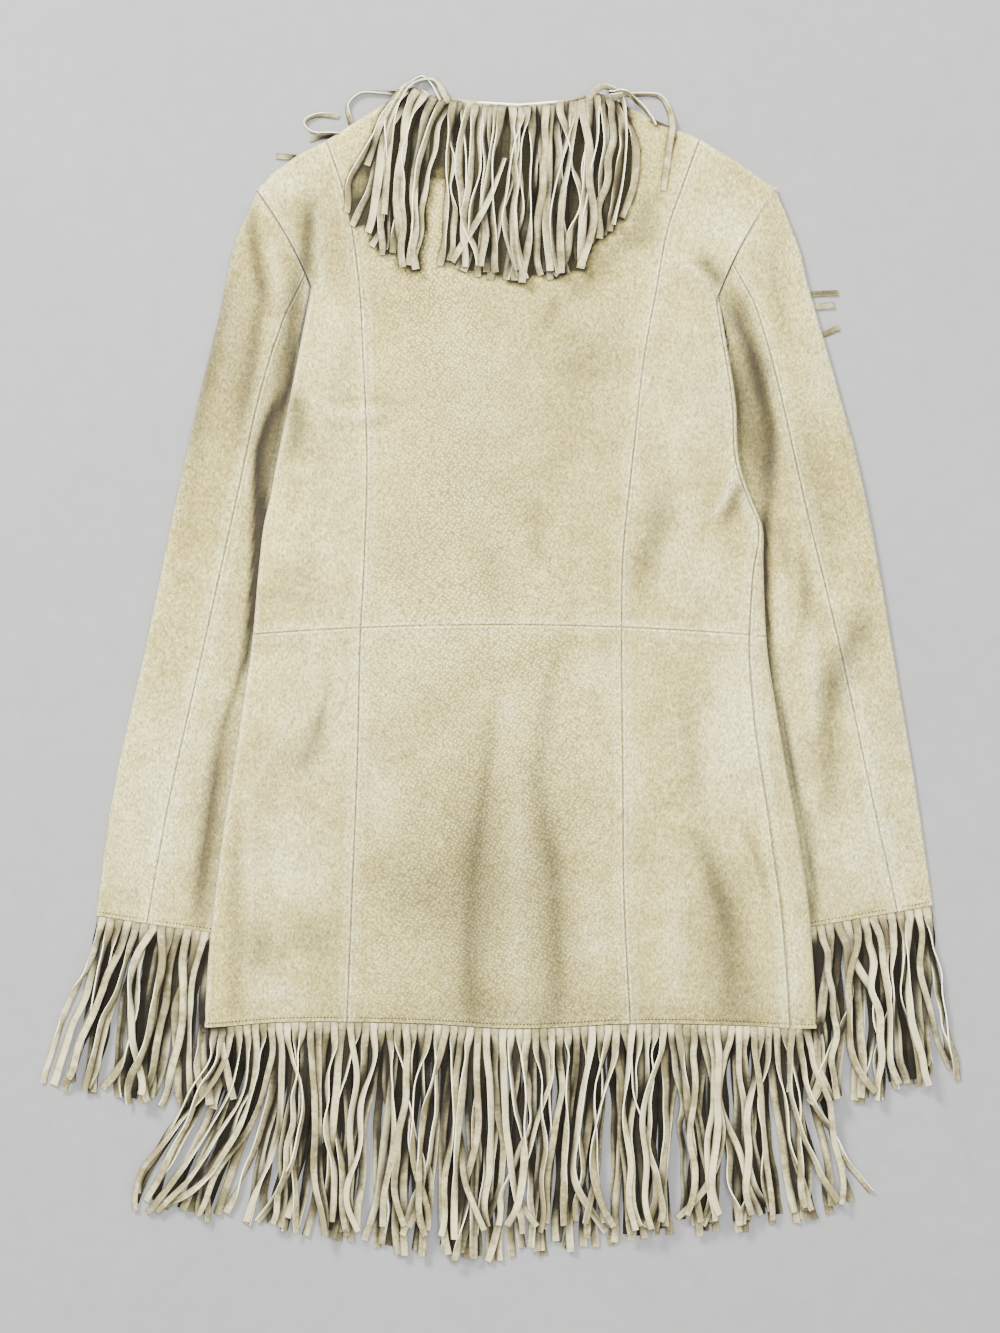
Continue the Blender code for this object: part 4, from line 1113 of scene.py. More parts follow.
    def back(self, name: str, first: Edge, last: Edge, width: float, pores: float,
             fold: bool = False) -> None:
        """One panel of the back.

        Args:
            name: The node's name.
            first: Its left edge.
            last: Its right edge.
            width: A usual width in mm.
            pores: How much the hide's pores show.
            fold: Whether its left edge goes round the side fold, and isn't sewn.
        """
        pattern = self.pattern
        upper = name.endswith("upper")
        rows = self.rows(upper, self.step, SEAM_ROWS)
        points_of = pattern.upper_points if upper else pattern.lower_points
        plan = points_of(first, last, graded(width, self.step, SEAM_ROWS), rows)
        turn = np.zeros(plan.shape[:2])
        folded = self.folded(upper, rows)
        if fold:
            turns = np.array(self.fold_steps)[::-1]
            reach = pattern.fold * np.sin(np.radians(turns))
            plan = np.concatenate((plan[:, :1] - EAST * reach[None, :, None], plan), 1)
            turn = np.concatenate((turns[None] * folded[:, None], turn), 1)
        if upper:
            over, turns = self.shoulder(plan)
            across = over[..., 0]
            neck = (across > pattern.neck_corners[0] + 0.3) & (across < pattern.neck_corners[1] - 0.3)
            plan = np.concatenate((plan, over), 0)
            turn = np.concatenate((turn, np.where(neck, 0, turns[:, None])), 0)
        along = measured(plan)
        unsewn = np.zeros((len(plan), 1))
        if fold:
            unsewn[:len(rows), 0] = folded
        seam = np.minimum(along + FAR * unsewn, along[:, -1:] - along)
        seam = np.minimum(seam, np.abs(plan[..., 1] - pattern.waist(plan[..., 0])))
        plan = inset(plan, self.parting)
        self.finish(name, self.raised(plan, turn, seam), self.nap(plan, seam, pores))

    def left_edge(self, fold: Edge, place: Array) -> Array:
        """Points where the back starts to go round the left fold."""
        return fold(place) + EAST * self.pattern.fold

    def side_seam(self, fold: Edge, top: float, place: Array) -> Array:
        """The right side seam, which lies on the back beside the fold.

        Args:
            fold: The fold.
            top: The place above which the edge is the fold's own line.
            place: Places along the seam.

        Returns:
            One point for each place.
        """
        points = fold(place)
        reach = self.pattern.side_seam_inset.read(1, points[:, 1], False) * (place <= top)
        return points - EAST * reach[:, None]

    def make_back(self) -> None:
        """The six panels of the back."""
        cut = self.pattern
        edge = partial(cut.lower_edge, cut.shaped_seams)
        left_seam, right_seam = (partial(cut.upper_seam, side) for side in Side)
        left_low, right_low = (partial(edge, side) for side in Side)
        upper, lower = cut.upper_side, partial(cut.lower_edge, cut.side_folds)
        high, low = (partial(self.left_edge, partial(fold, Side.LEFT)) for fold in (upper, lower))
        high_seam = partial(self.side_seam, partial(upper, Side.RIGHT), cut.underarm_row)
        low_seam = partial(self.side_seam, partial(lower, Side.RIGHT), 1.0)
        self.back("back_centre_upper", left_seam, right_seam, 225, 1.0)
        self.back("back_centre_lower", left_low, right_low, 215, 1.0)
        self.back("back_side_left_upper", high, left_seam, 75, 0.35, True)
        self.back("back_side_left_lower", low, left_low, 100, 0.55, True)
        self.back("back_side_right_upper", right_seam, high_seam, 85, 0.35)
        self.back("back_side_right_lower", right_low, low_seam, 115, 0.5)

    def front(self, side: Side, upper: bool) -> None:
        """One front panel, which lies under the back; the right one wraps up to the side seam.

        Args:
            side: The front's own side.
            upper: Whether it is above the waist seam.
        """
        cut = self.pattern
        wraps = side is Side.RIGHT
        rows = self.rows(upper, self.hidden_step, self.hidden_rows)
        shares = graded(self.front_width, self.hidden_step, self.hidden_columns, (False, True))
        outer, inner = partial(cut.lower_edge, cut.side_folds, side), cut.lower_front
        if upper:
            outer, inner = partial(cut.upper_side, side), partial(cut.upper_front, side)
        points_of = cut.upper_points if upper else cut.lower_points
        plan = points_of(inner, lambda place: outer(place) - side.value * cut.fold * EAST, shares, rows)
        folded = self.folded(upper, rows)[:, None]
        steps = np.arange(165.0, -1.0 if wraps else 89.0, -15.0)
        reach = cut.fold * np.sin(np.radians(steps)) * side.value
        turn = np.concatenate((np.full(plan.shape[:2], 180.0), 180 - (180 - steps[None]) * folded), 1)
        plan = np.concatenate((plan, plan[:, -1:] + reach[None, :, None] * EAST), 1)
        if wraps:
            depth = cut.side_seam_inset.read(1, outer(rows)[:, 1], False) - cut.fold
            part = np.linspace(0, 1, 9)[1:]
            plan = np.concatenate((plan, plan[:, -1:] - EAST * (depth[:, None] * part)[..., None]), 1)
            turn = np.concatenate((turn, np.repeat(180 - 180 * folded, len(part), 1)), 1)
        if upper:
            over, turns = self.shoulder(plan)
            plan = np.concatenate((plan, over), 0)
            turn = np.concatenate((turn, np.broadcast_to(180 - turns[:, None], over.shape[:2])), 0)
        seam = np.full(plan.shape[:2], FAR)
        if wraps:
            at_waist = np.abs(plan[..., 1] - cut.waist(plan[..., 0]))
            seam = np.minimum(measured(plan[:, ::-1])[:, ::-1], at_waist)
        plan = inset(plan, self.parting)
        points, nap = self.raised(plan, turn, seam), self.nap(plan, seam, 0.4)
        kept = None
        if wraps and upper:
            kept = np.ones((points.shape[0] - 1, points.shape[1] - 1), bool)
            kept[np.searchsorted(rows, cut.underarm_row):, self.quarter - len(steps) - len(part):] = False
            kept = kept[:, ::-1]
        if wraps:
            points, nap = points[:, ::-1], nap[:, ::-1]
        self.finish("front_%s_%s" % (side.word, "upper" if upper else "lower"), points, nap, kept)

    def make_fronts(self) -> None:
        """The four panels of the fronts."""
        for side in Side:
            self.front(side, True)
            self.front(side, False)


@dataclass
class Sleeves(Bench):
    """Both flattened sleeves, each of a top and an under piece."""

    body: Body
    step: float = 3.0
    length: float = 600.0
    width: float = 50.0
    cuff_rows: tuple[float, ...] = (0.7, 1.5, 2.6, 4.2, 6.2, 9.0)
    below: int = 8
    front_seam: float = 0.7
    clearance: float = 0.25
    shade_beside_body: float = 0.32
    most_shade: float = 0.99
    underarm_light: Pair = (236.0, 275.0)

    def ring(self, fold: float, sign: float, seam: Array) -> tuple[Array, Array, Array]:
        """Columns of a piece, from the hidden seam below, round its fold, to the seam on top.

        Args:
            fold: The share of the way in at which it is folded.
            sign: Which way its fold bulges: -1 outwards, 1 inwards.
            seam: The share of the way in at which the top seam lies, row by row.

        Returns:
            The share of the way in of each row and column, the columns' turn in degrees, and their bulge.
        """
        under = self.front_seam + (fold - self.front_seam) * np.linspace(0, 1, self.below)
        turned = np.arange(160.0, 10.0, -18.0)
        above = fold + (seam[:, None] - fold) * graded(self.width, self.step, SEAM_ROWS, (False, True))
        rows = np.ones((len(seam), 1))
        across = np.concatenate((under * rows, np.full(len(turned), fold) * rows, above), 1)
        turn = np.concatenate((np.full(self.below, 180.0), turned, np.zeros(above.shape[1])))
        return across, turn[None], np.where((turn > 0) & (turn < 180), sign, 0.0)[None]

    def make(self, side: Side) -> None:
        """The two pieces of a sleeve."""
        for piece, fold, sign in (("top", 0.0, -1.0), ("under", 1.0, 1.0)):
            self.make_piece(side, piece, fold, sign)

    def make_piece(self, side: Side, piece: str, fold: float, sign: float) -> None:
        """One piece of a sleeve, folded at a share of the way in and bulging one way.

        Args:
            side: The sleeve.
            piece: Which piece it is: top or under.
            fold: The share of the way in at which it is folded.
            sign: Which way its fold bulges.
        """
        cut = self.pattern
        shares = graded(self.length, self.step, self.cuff_rows)
        outer, inner, seam_share, height = cut.sleeve_station(side, shares)
        along = (inner - outer) / np.linalg.norm(inner - outer, axis=-1, keepdims=True)
        radius = height[:, None] / 2
        start, stop = outer + along * radius, inner - along * radius
        across, turn, bulge = self.ring(fold, sign, seam_share)
        draw = np.array((-side.value * cut.cap_across[0], cut.cap_across[1]))
        plan = mix(start[:, None], stop[:, None], across[..., None])
        plan = plan + along[:, None] * (radius * np.sin(np.radians(turn)) * bulge)[..., None]
        cap = ease(cut.cap_start, 1, shares)[:, None]
        plan = plan + (cut.armhole_bow * cap * 4 * across * (1 - across))[..., None] * draw
        plan = plan + draw * (self.clearance * ease(cut.clear_start, 1, shares))[:, None, None]
        seam = np.abs(across - seam_share[:, None]) * np.linalg.norm(stop - start, axis=-1)[:, None]
        seam = np.where(turn == 0, np.minimum(seam, (1 - shares[:, None]) * self.length), FAR)
        plan = inset(plan, self.body.parting)
        x, y = plan[..., 0], plan[..., 1]
        upper = on_top(turn)
        soft = self.relief.sleeve(x, y, side)
        level = upper * (height[:, None] + soft + seam_relief(seam) * (upper > 0.99))
        points = np.dstack((plan, cut.lift(x, y, Layer.SLEEVE) + level))
        nap = self.body.nap(plan, seam, 0.4, SLEEVE_CREASES)
        # Painted shade on the sleeve beside the body's edge, fading out towards the underarm.
        clear = (x - cut.side_fold(side, y)) * side.value
        beside = bell(np.maximum(clear - 1.5, 0), 0, 4) * self.shade_beside_body
        nap[..., 2] = np.clip(nap[..., 2] + beside * (1 - ease(*self.underarm_light, y)), 0, self.most_shade)
        if (side is Side.LEFT) != (piece == "top"):
            points, nap = points[:, ::-1], nap[:, ::-1]
        self.body.finish("sleeve_%s_%s" % (piece, side.word), points, nap)


@dataclass
class Pile:
    """Heights, millimetre by millimetre, of what the next strand lies on."""

    low: Pair = (-400.0, -540.0)
    size: tuple[int, int] = (800, 1000)
    most: float = 19.7

    def __post_init__(self) -> None:
        """Start with a bare floor."""
        self.heights = np.full(self.size, 0.05)
        self.ground = self.heights

    def cells(self, x: Array, y: Array) -> tuple[Array, Array]:
        """The cells of points."""
        column = np.clip(np.rint(x - self.low[0]).astype(int), 0, self.size[0] - 1)
        row = np.clip(np.rint(y - self.low[1]).astype(int), 0, self.size[1] - 1)
        return column, row

    def top(self, x: Array, y: Array) -> Array:
        """Height of the pile at points."""
        return self.heights[self.cells(x, y)]

    def add(self, x: Array, y: Array, z: Array) -> None:
        """Raise the pile to points that lie higher."""
        np.maximum.at(self.heights, self.cells(x, y), z)

    @staticmethod
    def softened(heights: Array, spread: float) -> Array:
        """Heights averaged over the neighbourhood of each cell."""
        reach = int(3 * spread)
        kernel = np.exp(-((np.arange(-reach, reach + 1) / spread) ** 2))
        kernel /= kernel.sum()
        for _ in range(2):
            heights = sum(np.roll(heights, n - reach, 0) * weight for n, weight in enumerate(kernel)).T
        return heights

    @staticmethod
    def closed(heights: Array, reach: int) -> Array:
        """Heights with the gaps of up to twice the reach filled in."""
        for pick in (np.maximum, np.minimum):
            for axis in (0, 1):
                heights = pick.reduce([np.roll(heights, step, axis) for step in range(-reach, reach + 1)])
        return heights

    def soften(self) -> None:
        """Work out the mean level round each cell, which gives what lies below it painted shade, and the
        cover from which the back gets the strands' painted shadow.
        """
        self.level = self.softened(self.heights, 3.4)
        cover = self.heights - self.ground
        self.filled = self.softened(sum(self.closed(cover, reach) for reach in (3, 4, 5, 6)) / 4, 1.4)
        self.around = self.softened(cover, 3.4)

    def depth(self, x: Array, y: Array, z: Array) -> Array:
        """How far points lie below the pile around them."""
        return self.level[self.cells(x, y)] - z

    def shade(self, x: Array, y: Array) -> Array:
        """How much painted shadow the strands that lie on the back put on it."""
        cell = self.cells(x, y)
        return np.maximum(0.97 * ease(0.3, 1.9, self.filled[cell]), 0.60 * ease(0.1, 2.4, self.around[cell]))

    def spread(self, low: Pair, high: Pair, covers: Callable, height: Callable) -> None:
        """Lay a surface over part of the floor, which becomes the ground of the later strands."""
        x, y = np.meshgrid(np.arange(low[0], high[0]), np.arange(low[1], high[1]), indexing="ij")
        x, y = x.ravel(), y.ravel()
        found = covers(x, y)
        self.add(x[found], y[found], height(x[found], y[found]))
        self.ground = self.heights.copy()


@dataclass(frozen=True)
class Loose:
    """A strand with a path of its own: its points, and its twist in degrees at even steps."""

    path: tuple[Pair, ...]
    twist: tuple[float, ...] = (0, 0)
    width: float = 5.2
    tone: float = 0.5


@dataclass(frozen=True)
class Fringe:
    """One cut fringe: strands whose roots are one strip."""

    node: str
    strands: int
    width: float
    strip: float
    layer: Layer
    roots: Table
    tips: Table
    root_level: float = 4.0
    seed: int = 1
    scatter: float = 5.0
    # Painted shade towards the strands' roots, and painted shade over each whole strand.
    shade: float = 0.0
    overall_shade: float = 0.0
    covered: float | None = None
    calm: float = 0.0
    fused: bool = True
    lean: Table | None = None
    loose: tuple[Loose, ...] = ()


@dataclass
class FringeWork(Bench):
    """Lays the strands one by one, each on the pile of those before it."""

    pile: Pile
    samples: int = 34
    crowding: float = 1.12
    thickness: float = 0.9
    clumping: tuple[float, ...] = (0.22, 0.34, 0.28, 0.16)
    root_drop: float = 3.2
    nudge: float = 0.01
    fused_step: float = 0.95
    loose_step: float = 0.85
    ripples: tuple[Triple, ...] = ((0.9, 1.4, 2.4), (0.5, 2.6, 4.4))
    kinks: int = 2
    kink: float = 0.036
    flutter: float = 17.0
    made: dict[str, Piece] = field(default_factory=dict)
    laid: list[tuple] = field(default_factory=list)

    def path(self, root: Array, tip: Array, down: Array, rng: Random, scatter: float, pull: float) -> Array:
        """The plan of a strand from root to tip.

        Args:
            root: Where it leaves its strip.
            tip: Where it ends.
            down: The direction in which it leaves.
            rng: Source of its own unevenness.
            scatter: How unruly it is in mm.
            pull: How far its neighbours draw its middle aside in mm.

        Returns:
            One point for each sample.
        """
        reach = tip - root
        length = np.linalg.norm(reach)
        ahead = reach / length
        aside = np.array((-ahead[1], ahead[0]))
        near = root + down * length * 0.3 + aside * rng.normal(0, 0.3 * scatter)
        far = tip - (ahead + aside * rng.normal(0, 0.03 * scatter)) * length * 0.3
        t, c = self.t, self.t[:, None]
        line = (1 - c) ** 3 * root + 3 * c * (1 - c) ** 2 * near + 3 * c * c * (1 - c) * far + c ** 3 * tip
        sway = rng.normal(0, 0.45 * scatter) * np.sin(math.pi * t)
        sway += rng.normal(0, 0.30 * scatter) * np.sin(math.tau * t + rng.uniform(-1, 1)) * t
        sway += rng.normal(0, 0.13 * scatter) * np.sin(math.tau * 2.3 * t + rng.uniform(0, 6)) * t
        bend = rng.uniform(0.3, 0.8)
        sway += rng.normal(0, 0.010 * scatter) * length * np.maximum(t - bend, 0)
        sway += pull * ease(0.05, 0.5, t) * (1 - 0.45 * ease(0.6, 1, t))
        return line + aside * sway[:, None]

    def rippled(self, plan: Array, turn: Array, rng: Random, size: float) -> tuple[Array, Array]:
        """A strand's plan and turn with short waves, soft kinks and a flutter of their own.

        Args:
            plan: Its points.
            turn: Its twist in degrees.
            rng: Source of the unevenness.
            size: How uneven it is, as a share of the usual.

        Returns:
            The new points and the new twist.
        """
        length = np.linalg.norm(np.diff(plan, axis=0), axis=1).sum()
        wave = np.zeros(len(plan))
        for height, low, high in self.ripples:
            phase = rng.uniform(0, math.tau)
            wave += rng.normal(0, height) * np.sin(math.tau * rng.uniform(low, high) * self.t + phase)
        for _ in range(self.kinks):
            bend = rng.uniform(0.2, 0.9)
            wave += rng.normal(0, self.kink) * length * (np.abs(self.t - bend) - mix(bend, 1 - bend, self.t))
        held = ease(0.0, 0.14, self.t) * size
        swing, pace, phase = rng.normal(0, self.flutter), rng.uniform(1.2, 3.2), rng.uniform(0, 6)
        flutter = swing * np.sin(math.tau * pace * self.t + phase)
        return plan + left_of(plan) * (wave * held)[:, None], turn + flutter * held

    def twist(self, rng: Random, sign: float) -> Array:
        """Turn of a strand about its own line in degrees, flat at its root and about flat at its tip."""
        kind = rng.uniform()
        if kind < 0.34:
            knots = [0, 0, *(rng.normal(0, spread) for spread in (16, 20, 22, 14))]
        elif kind < 0.80:
            first = sign * rng.uniform(42, 88)
            second = first * rng.uniform(0.55, 1.1)
            knots = [0, 0, first, second, second * rng.uniform(0.2, 1.0), rng.normal(0, 22)]
        else:
            knots = [0, 0, *(sign * rng.uniform(*turns) for turns in ((50, 80), (85, 120), (140, 175)))]
            knots.append(sign * 180 + rng.normal(0, 12))
        places = (0, 0.02, rng.uniform(0.08, 0.20), rng.uniform(0.4, 0.5), rng.uniform(0.66, 0.8), 1.0)
        return np.where(self.t < 0.02, 0, smoothed(np.interp(self.t, places, knots)))

    def settle(self, plan: Array, turn: Array, width: Array, start: float | None = None,
               keep: Array | None = None) -> Array:
        """Heights of a strand's middle line on the pile, which it is then added to.

        Args:
            plan: Its points.
            turn: Its twist in degrees.
            width: Its width at each point.
            start: Height of its root, or None where it just lies.
            keep: Where not 0, a fixed height under the garment.

        Returns:
            One height for each point.
        """
        side, angle, half = left_of(plan), np.radians(turn), self.thickness / 2
        need = np.full(len(plan), -9.0)
        for q in (-1, -0.6, -0.2, 0.2, 0.6, 1):
            spot = plan + side * (q * width / 2 * np.cos(angle))[:, None]
            need = np.maximum(need, self.pile.top(spot[:, 0], spot[:, 1]) - q * width / 2 * np.sin(angle))
        need = need + half * np.abs(np.cos(angle)) + 0.12
        padded = np.pad(need, 1, mode="edge")
        high = np.max([padded[n:n + len(need)] for n in range(3)], 0)
        level = np.maximum(smoothed(high), need - 0.25)
        half_high = width / 2 * np.abs(np.sin(angle)) + half * np.abs(np.cos(angle))
        level = np.clip(level, half_high + 0.08, self.pile.most - half_high)
        if start is not None:
            hang = ease(0, 0.15, self.t)
            level = np.where(self.t <= 0.001, start, np.maximum(level, start * (1 - hang) + level * hang))
        if keep is not None:
            level = np.where(keep > 0, keep, level)
        fine, at = np.linspace(0, len(plan) - 1, len(plan) * 7), np.arange(len(plan))
        px, py, sx, sy, wide, lift, bend = (
            np.interp(fine, at, values) for values in (*plan.T, *side.T, width, level, angle))
        for q in np.linspace(-1, 1, 9):
            reach = q * (wide / 2 * np.cos(bend) + 0.3 * np.sign(np.cos(bend)))
            self.pile.add(px + sx * reach, py + sy * reach, lift + q * wide / 2 * np.sin(bend) + half)
        return level

    def ribbon(self, plan: Array, level: Array, turn: Array, width: Array, cup: Array) -> Array:
        """Left edge, middle and right edge of a strand."""
        side, angle = left_of(plan), np.radians(turn)[:, None]
        across = np.concatenate((side * np.cos(angle), np.sin(angle)), 1) * (width / 2)[:, None]
        face = np.concatenate((-side * np.sin(angle), np.cos(angle)), 1)
        middle = np.concatenate((plan, level[:, None]), 1)
        rows = np.stack((middle - across, middle + face * cup[:, None], middle + across), 1)
        rows[..., 2] = np.clip(rows[..., 2], self.thickness / 2 + 0.02, self.pile.most)
        return rows

    def clumps(self, fringe: Fringe, rng: Random) -> tuple[Array, Array]:
        """How far each strand is drawn to its clump's middle in mm, and to which side it turns."""
        pulls, signs = np.zeros(fringe.strands), np.zeros(fringe.strands)
        first, sign = 0, 1.0
        while first < fringe.strands:
            stop = min(first + int(rng.choice((1, 2, 3, 4), p=self.clumping)), fringe.strands)
            draw = rng.uniform(0.15, 0.75)
            for member in range(first, stop):
                pulls[member] = ((first + stop - 1) / 2 - member) * fringe.width * draw
                sign = sign if rng.uniform() < 0.6 else -sign
                signs[member] = sign
            first = stop
        return pulls, signs

    def lay(self, fringe: Fringe) -> None:
        """Lay one fringe: its strands in no order, and then its loose ones."""
        rng = np.random.default_rng(fringe.seed)
        self.t = np.linspace(0, 1, self.samples) ** self.crowding
        pulls, signs = self.clumps(fringe, rng)
        order = list(range(fringe.strands))
        rng.shuffle(order)
        laid: dict[int, tuple[Array, float]] = {}
        for number in order:
            strand = self.lay_strand(fringe, number, pulls[number], signs[number], rng)
            laid[number] = strand, rng.beta(1.3, 1.3)
        strands = [laid[number] for number in range(fringe.strands)]
        strands += [(self.lay_loose(loose, rng), loose.tone) for loose in fringe.loose]
        points, tones = zip(*strands)
        self.laid.append((fringe, np.concatenate(points, 1), np.array(tones)))

    def lay_strand(self, fringe: Fringe, number: int, pull: float, sign: float, rng: Random) -> Array:
        """Lay one strand of a fringe.

        Args:
            fringe: The fringe.
            number: The strand's place along the strip.
            pull: How far it is drawn towards higher numbers in mm.
            sign: To which side it turns.
            rng: Source of its unevenness.

        Returns:
            Left edge, middle and right edge in rows from the tip to the top of the strip.
        """
        share, calm, scatter = (number + 0.5) / fringe.strands, fringe.calm, fringe.scatter
        root, before, after = (fringe.roots.spot(share + step) for step in (0.0, -self.nudge, self.nudge))
        run = (after - before) / np.linalg.norm(after - before)
        down = np.array((run[1], -run[0]))
        drop = rng.uniform(0, self.root_drop) if fringe.fused else 0.0
        root = root + down * drop
        if fringe.lean is not None:
            turned = math.radians(float(fringe.lean.read(1, share)))
            down = np.array((math.cos(turned), math.sin(turned)))
        tip = fringe.tips.spot(share, False)
        ahead = (tip - root) / np.linalg.norm(tip - root)
        aside = np.array((-ahead[1], ahead[0]))
        tip = tip + ahead * rng.uniform(-9, 3) + aside * rng.normal(0, scatter)
        # A strand's left is on the +x side of its way down, so a pull to higher numbers is to its left.
        pull = pull * np.sign(run @ aside) * (1 - calm)
        plan = self.path(root, tip, down, rng, scatter * (1 - 0.6 * calm), pull)
        turn = self.twist(rng, sign) * (1 - calm * (1 - ease(0.7, 1.0, self.t)))
        own = np.random.default_rng((fringe.seed, number))
        plan, turn = self.rippled(plan, turn, own, 1 - 0.5 * calm)
        slim = mix(rng.uniform(0.80, 0.94) * own.uniform(0.86, 1.06), 1.03, calm)
        width = fringe.width * mix(1.0, slim, 0.6 * ease(0, 0.02, self.t) + 0.4 * ease(0.01, 0.12, self.t))
        width = width * (1 + 0.05 * np.sin(rng.uniform(0, 6) + 7 * self.t) * ease(0.05, 0.2, self.t))
        start = fringe.root_level + float(self.pattern.lift(root[0], root[1], fringe.layer))
        if not fringe.fused:
            start += self.loose_step * (number % 3)
        elif calm:
            start += self.fused_step * (number % 2)
        below = inside(plan[:, 0], plan[:, 1], self.pattern.outline())
        keep = None
        if fringe.covered is not None:
            hidden = below | (self.t < 0.02)
            keep = np.where(hidden, fringe.covered, 0.0)
            turn = turn * (1 - smoothed(hidden.astype(float), np.ones(5) / 5))
            start = fringe.covered
        elif fringe.layer is Layer.SLEEVE:
            turn = turn * (1 - smoothed((below & (self.t > 0.02)).astype(float), np.ones(7) / 7))
        level = self.settle(plan, turn, width, start, keep)
        if fringe.covered is None and fringe.layer is Layer.SLEEVE:
            level = self.tuck(plan, level)
        cup = rng.normal(0, 0.45) * ease(0.05, 0.2, self.t)
        rows = self.ribbon(plan, level, turn, width, cup)[:0:-1]
        up = np.array((-run[1], run[0], 0.0)) * (fringe.strip + drop)
        top = np.array([(*(root + run * width[0] / 2 * q), start) for q in (-1, 0, 1)])
        return np.concatenate((rows, [top, top + up * 0.5, top + up]))

    def tuck(self, plan: Array, level: Array) -> Array:
        """Keep cuff strands under the body's side, which lies over them."""
        x, y = plan[:, 0], plan[:, 1]
        under = ease(-4, 0, self.pattern.within(x, y)) * ease(-330, -318, y)
        most = self.pattern.sleeve_rise - 0.5
        return np.where(under > 0, np.minimum(level, mix(level, most, under)), level)

    def lay_loose(self, loose: Loose, rng: Random) -> Array:
        """A strand with a path of its own."""
        knots = np.array(loose.path, float)
        run = measured(knots)
        places = np.linspace(0, run[-1], self.samples)
        plan = np.stack([Table(tuple(zip(run, knots[:, axis]))).read(1, places) for axis in (0, 1)], -1)
        self.t = np.linspace(0, 1, self.samples)
        turn = np.interp(self.t, np.linspace(0, 1, len(loose.twist)), loose.twist)
        width = np.full(self.samples, loose.width)
        level = self.settle(plan, turn, width)
        rows = self.ribbon(plan, level, turn, width, np.full(self.samples, rng.normal(0, 0.3)))[::-1]
        back = rows[-1] - rows[-2]
        return np.concatenate((rows, [rows[-1] + back * 0.3, rows[-1] + back * 0.6]))

    def build(self) -> None:
        """Make the pieces once all strands lie."""
        self.pile.soften()
        for fringe, points, tones in self.laid:
            self.build_one(fringe, points, tones)

    def build_one(self, fringe: Fringe, points: Array, tones: Array) -> None:
        """Make a fringe's piece: one sheet, slit between its strands.

        Args:
            fringe: The fringe.
            points: Rows and columns of its strands, side by side.
            tones: One tone for each strand.
        """
        rows, columns = points.shape[:2]
        # Painted shade: over the whole strand, towards the roots, and where it lies buried under others.
        buried = self.pile.depth(points[..., 0], points[..., 1], points[..., 2])
        tipward = (np.arange(rows) / rows)[:, None]
        painted_shade = fringe.overall_shade + fringe.shade * ease(0.25, 0.6, tipward) + ease(-0.2, 1.5, buried) * 0.98
        padded = np.pad(np.clip(painted_shade, 0, 0.98), ((2, 2), (0, 0)), mode="edge")
        painted_shade = sum(padded[n:n + rows] * weight for n, weight in enumerate((1, 2, 3, 2, 1))) / 9
        # Painted highlight on each strand's raised edge, and painted shade on its other edges.
        aside = np.tile((1.0, 0.0, 1.0), len(tones))[None]
        tilt = (points[:, 2::3, 2] - points[:, 0::3, 2]) / fringe.width
        raised = np.zeros(painted_shade.shape)
        raised[:, 2::3], raised[:, 0::3] = tilt, -tilt
        raised_edge_highlight = np.clip(1.7 * raised, 0, 1)
        nap = np.stack((raised_edge_highlight, np.repeat(tones, 3)[None] + 0 * painted_shade, painted_shade, aside * (1 - raised_edge_highlight)), -1)
        kept = np.ones((rows - 1, columns - 1), bool)
        gaps = np.arange(2, columns - 1, 3)
        kept[:rows - 3 if fringe.fused else rows, gaps] = False
        kept[:, gaps[fringe.strands - 1:]] = False
        finishes = [self.looks.strands, self.looks.strand_edge]
        node, wall = fringe.node, (self.thickness, 0.0)
        self.made[node] = self.cutting.leather(node + "_strands", node, "fringe_suede", points, nap, wall,
                                               finishes, kept)
        LOG.info("%s_strands: %d strands", node, len(tones))


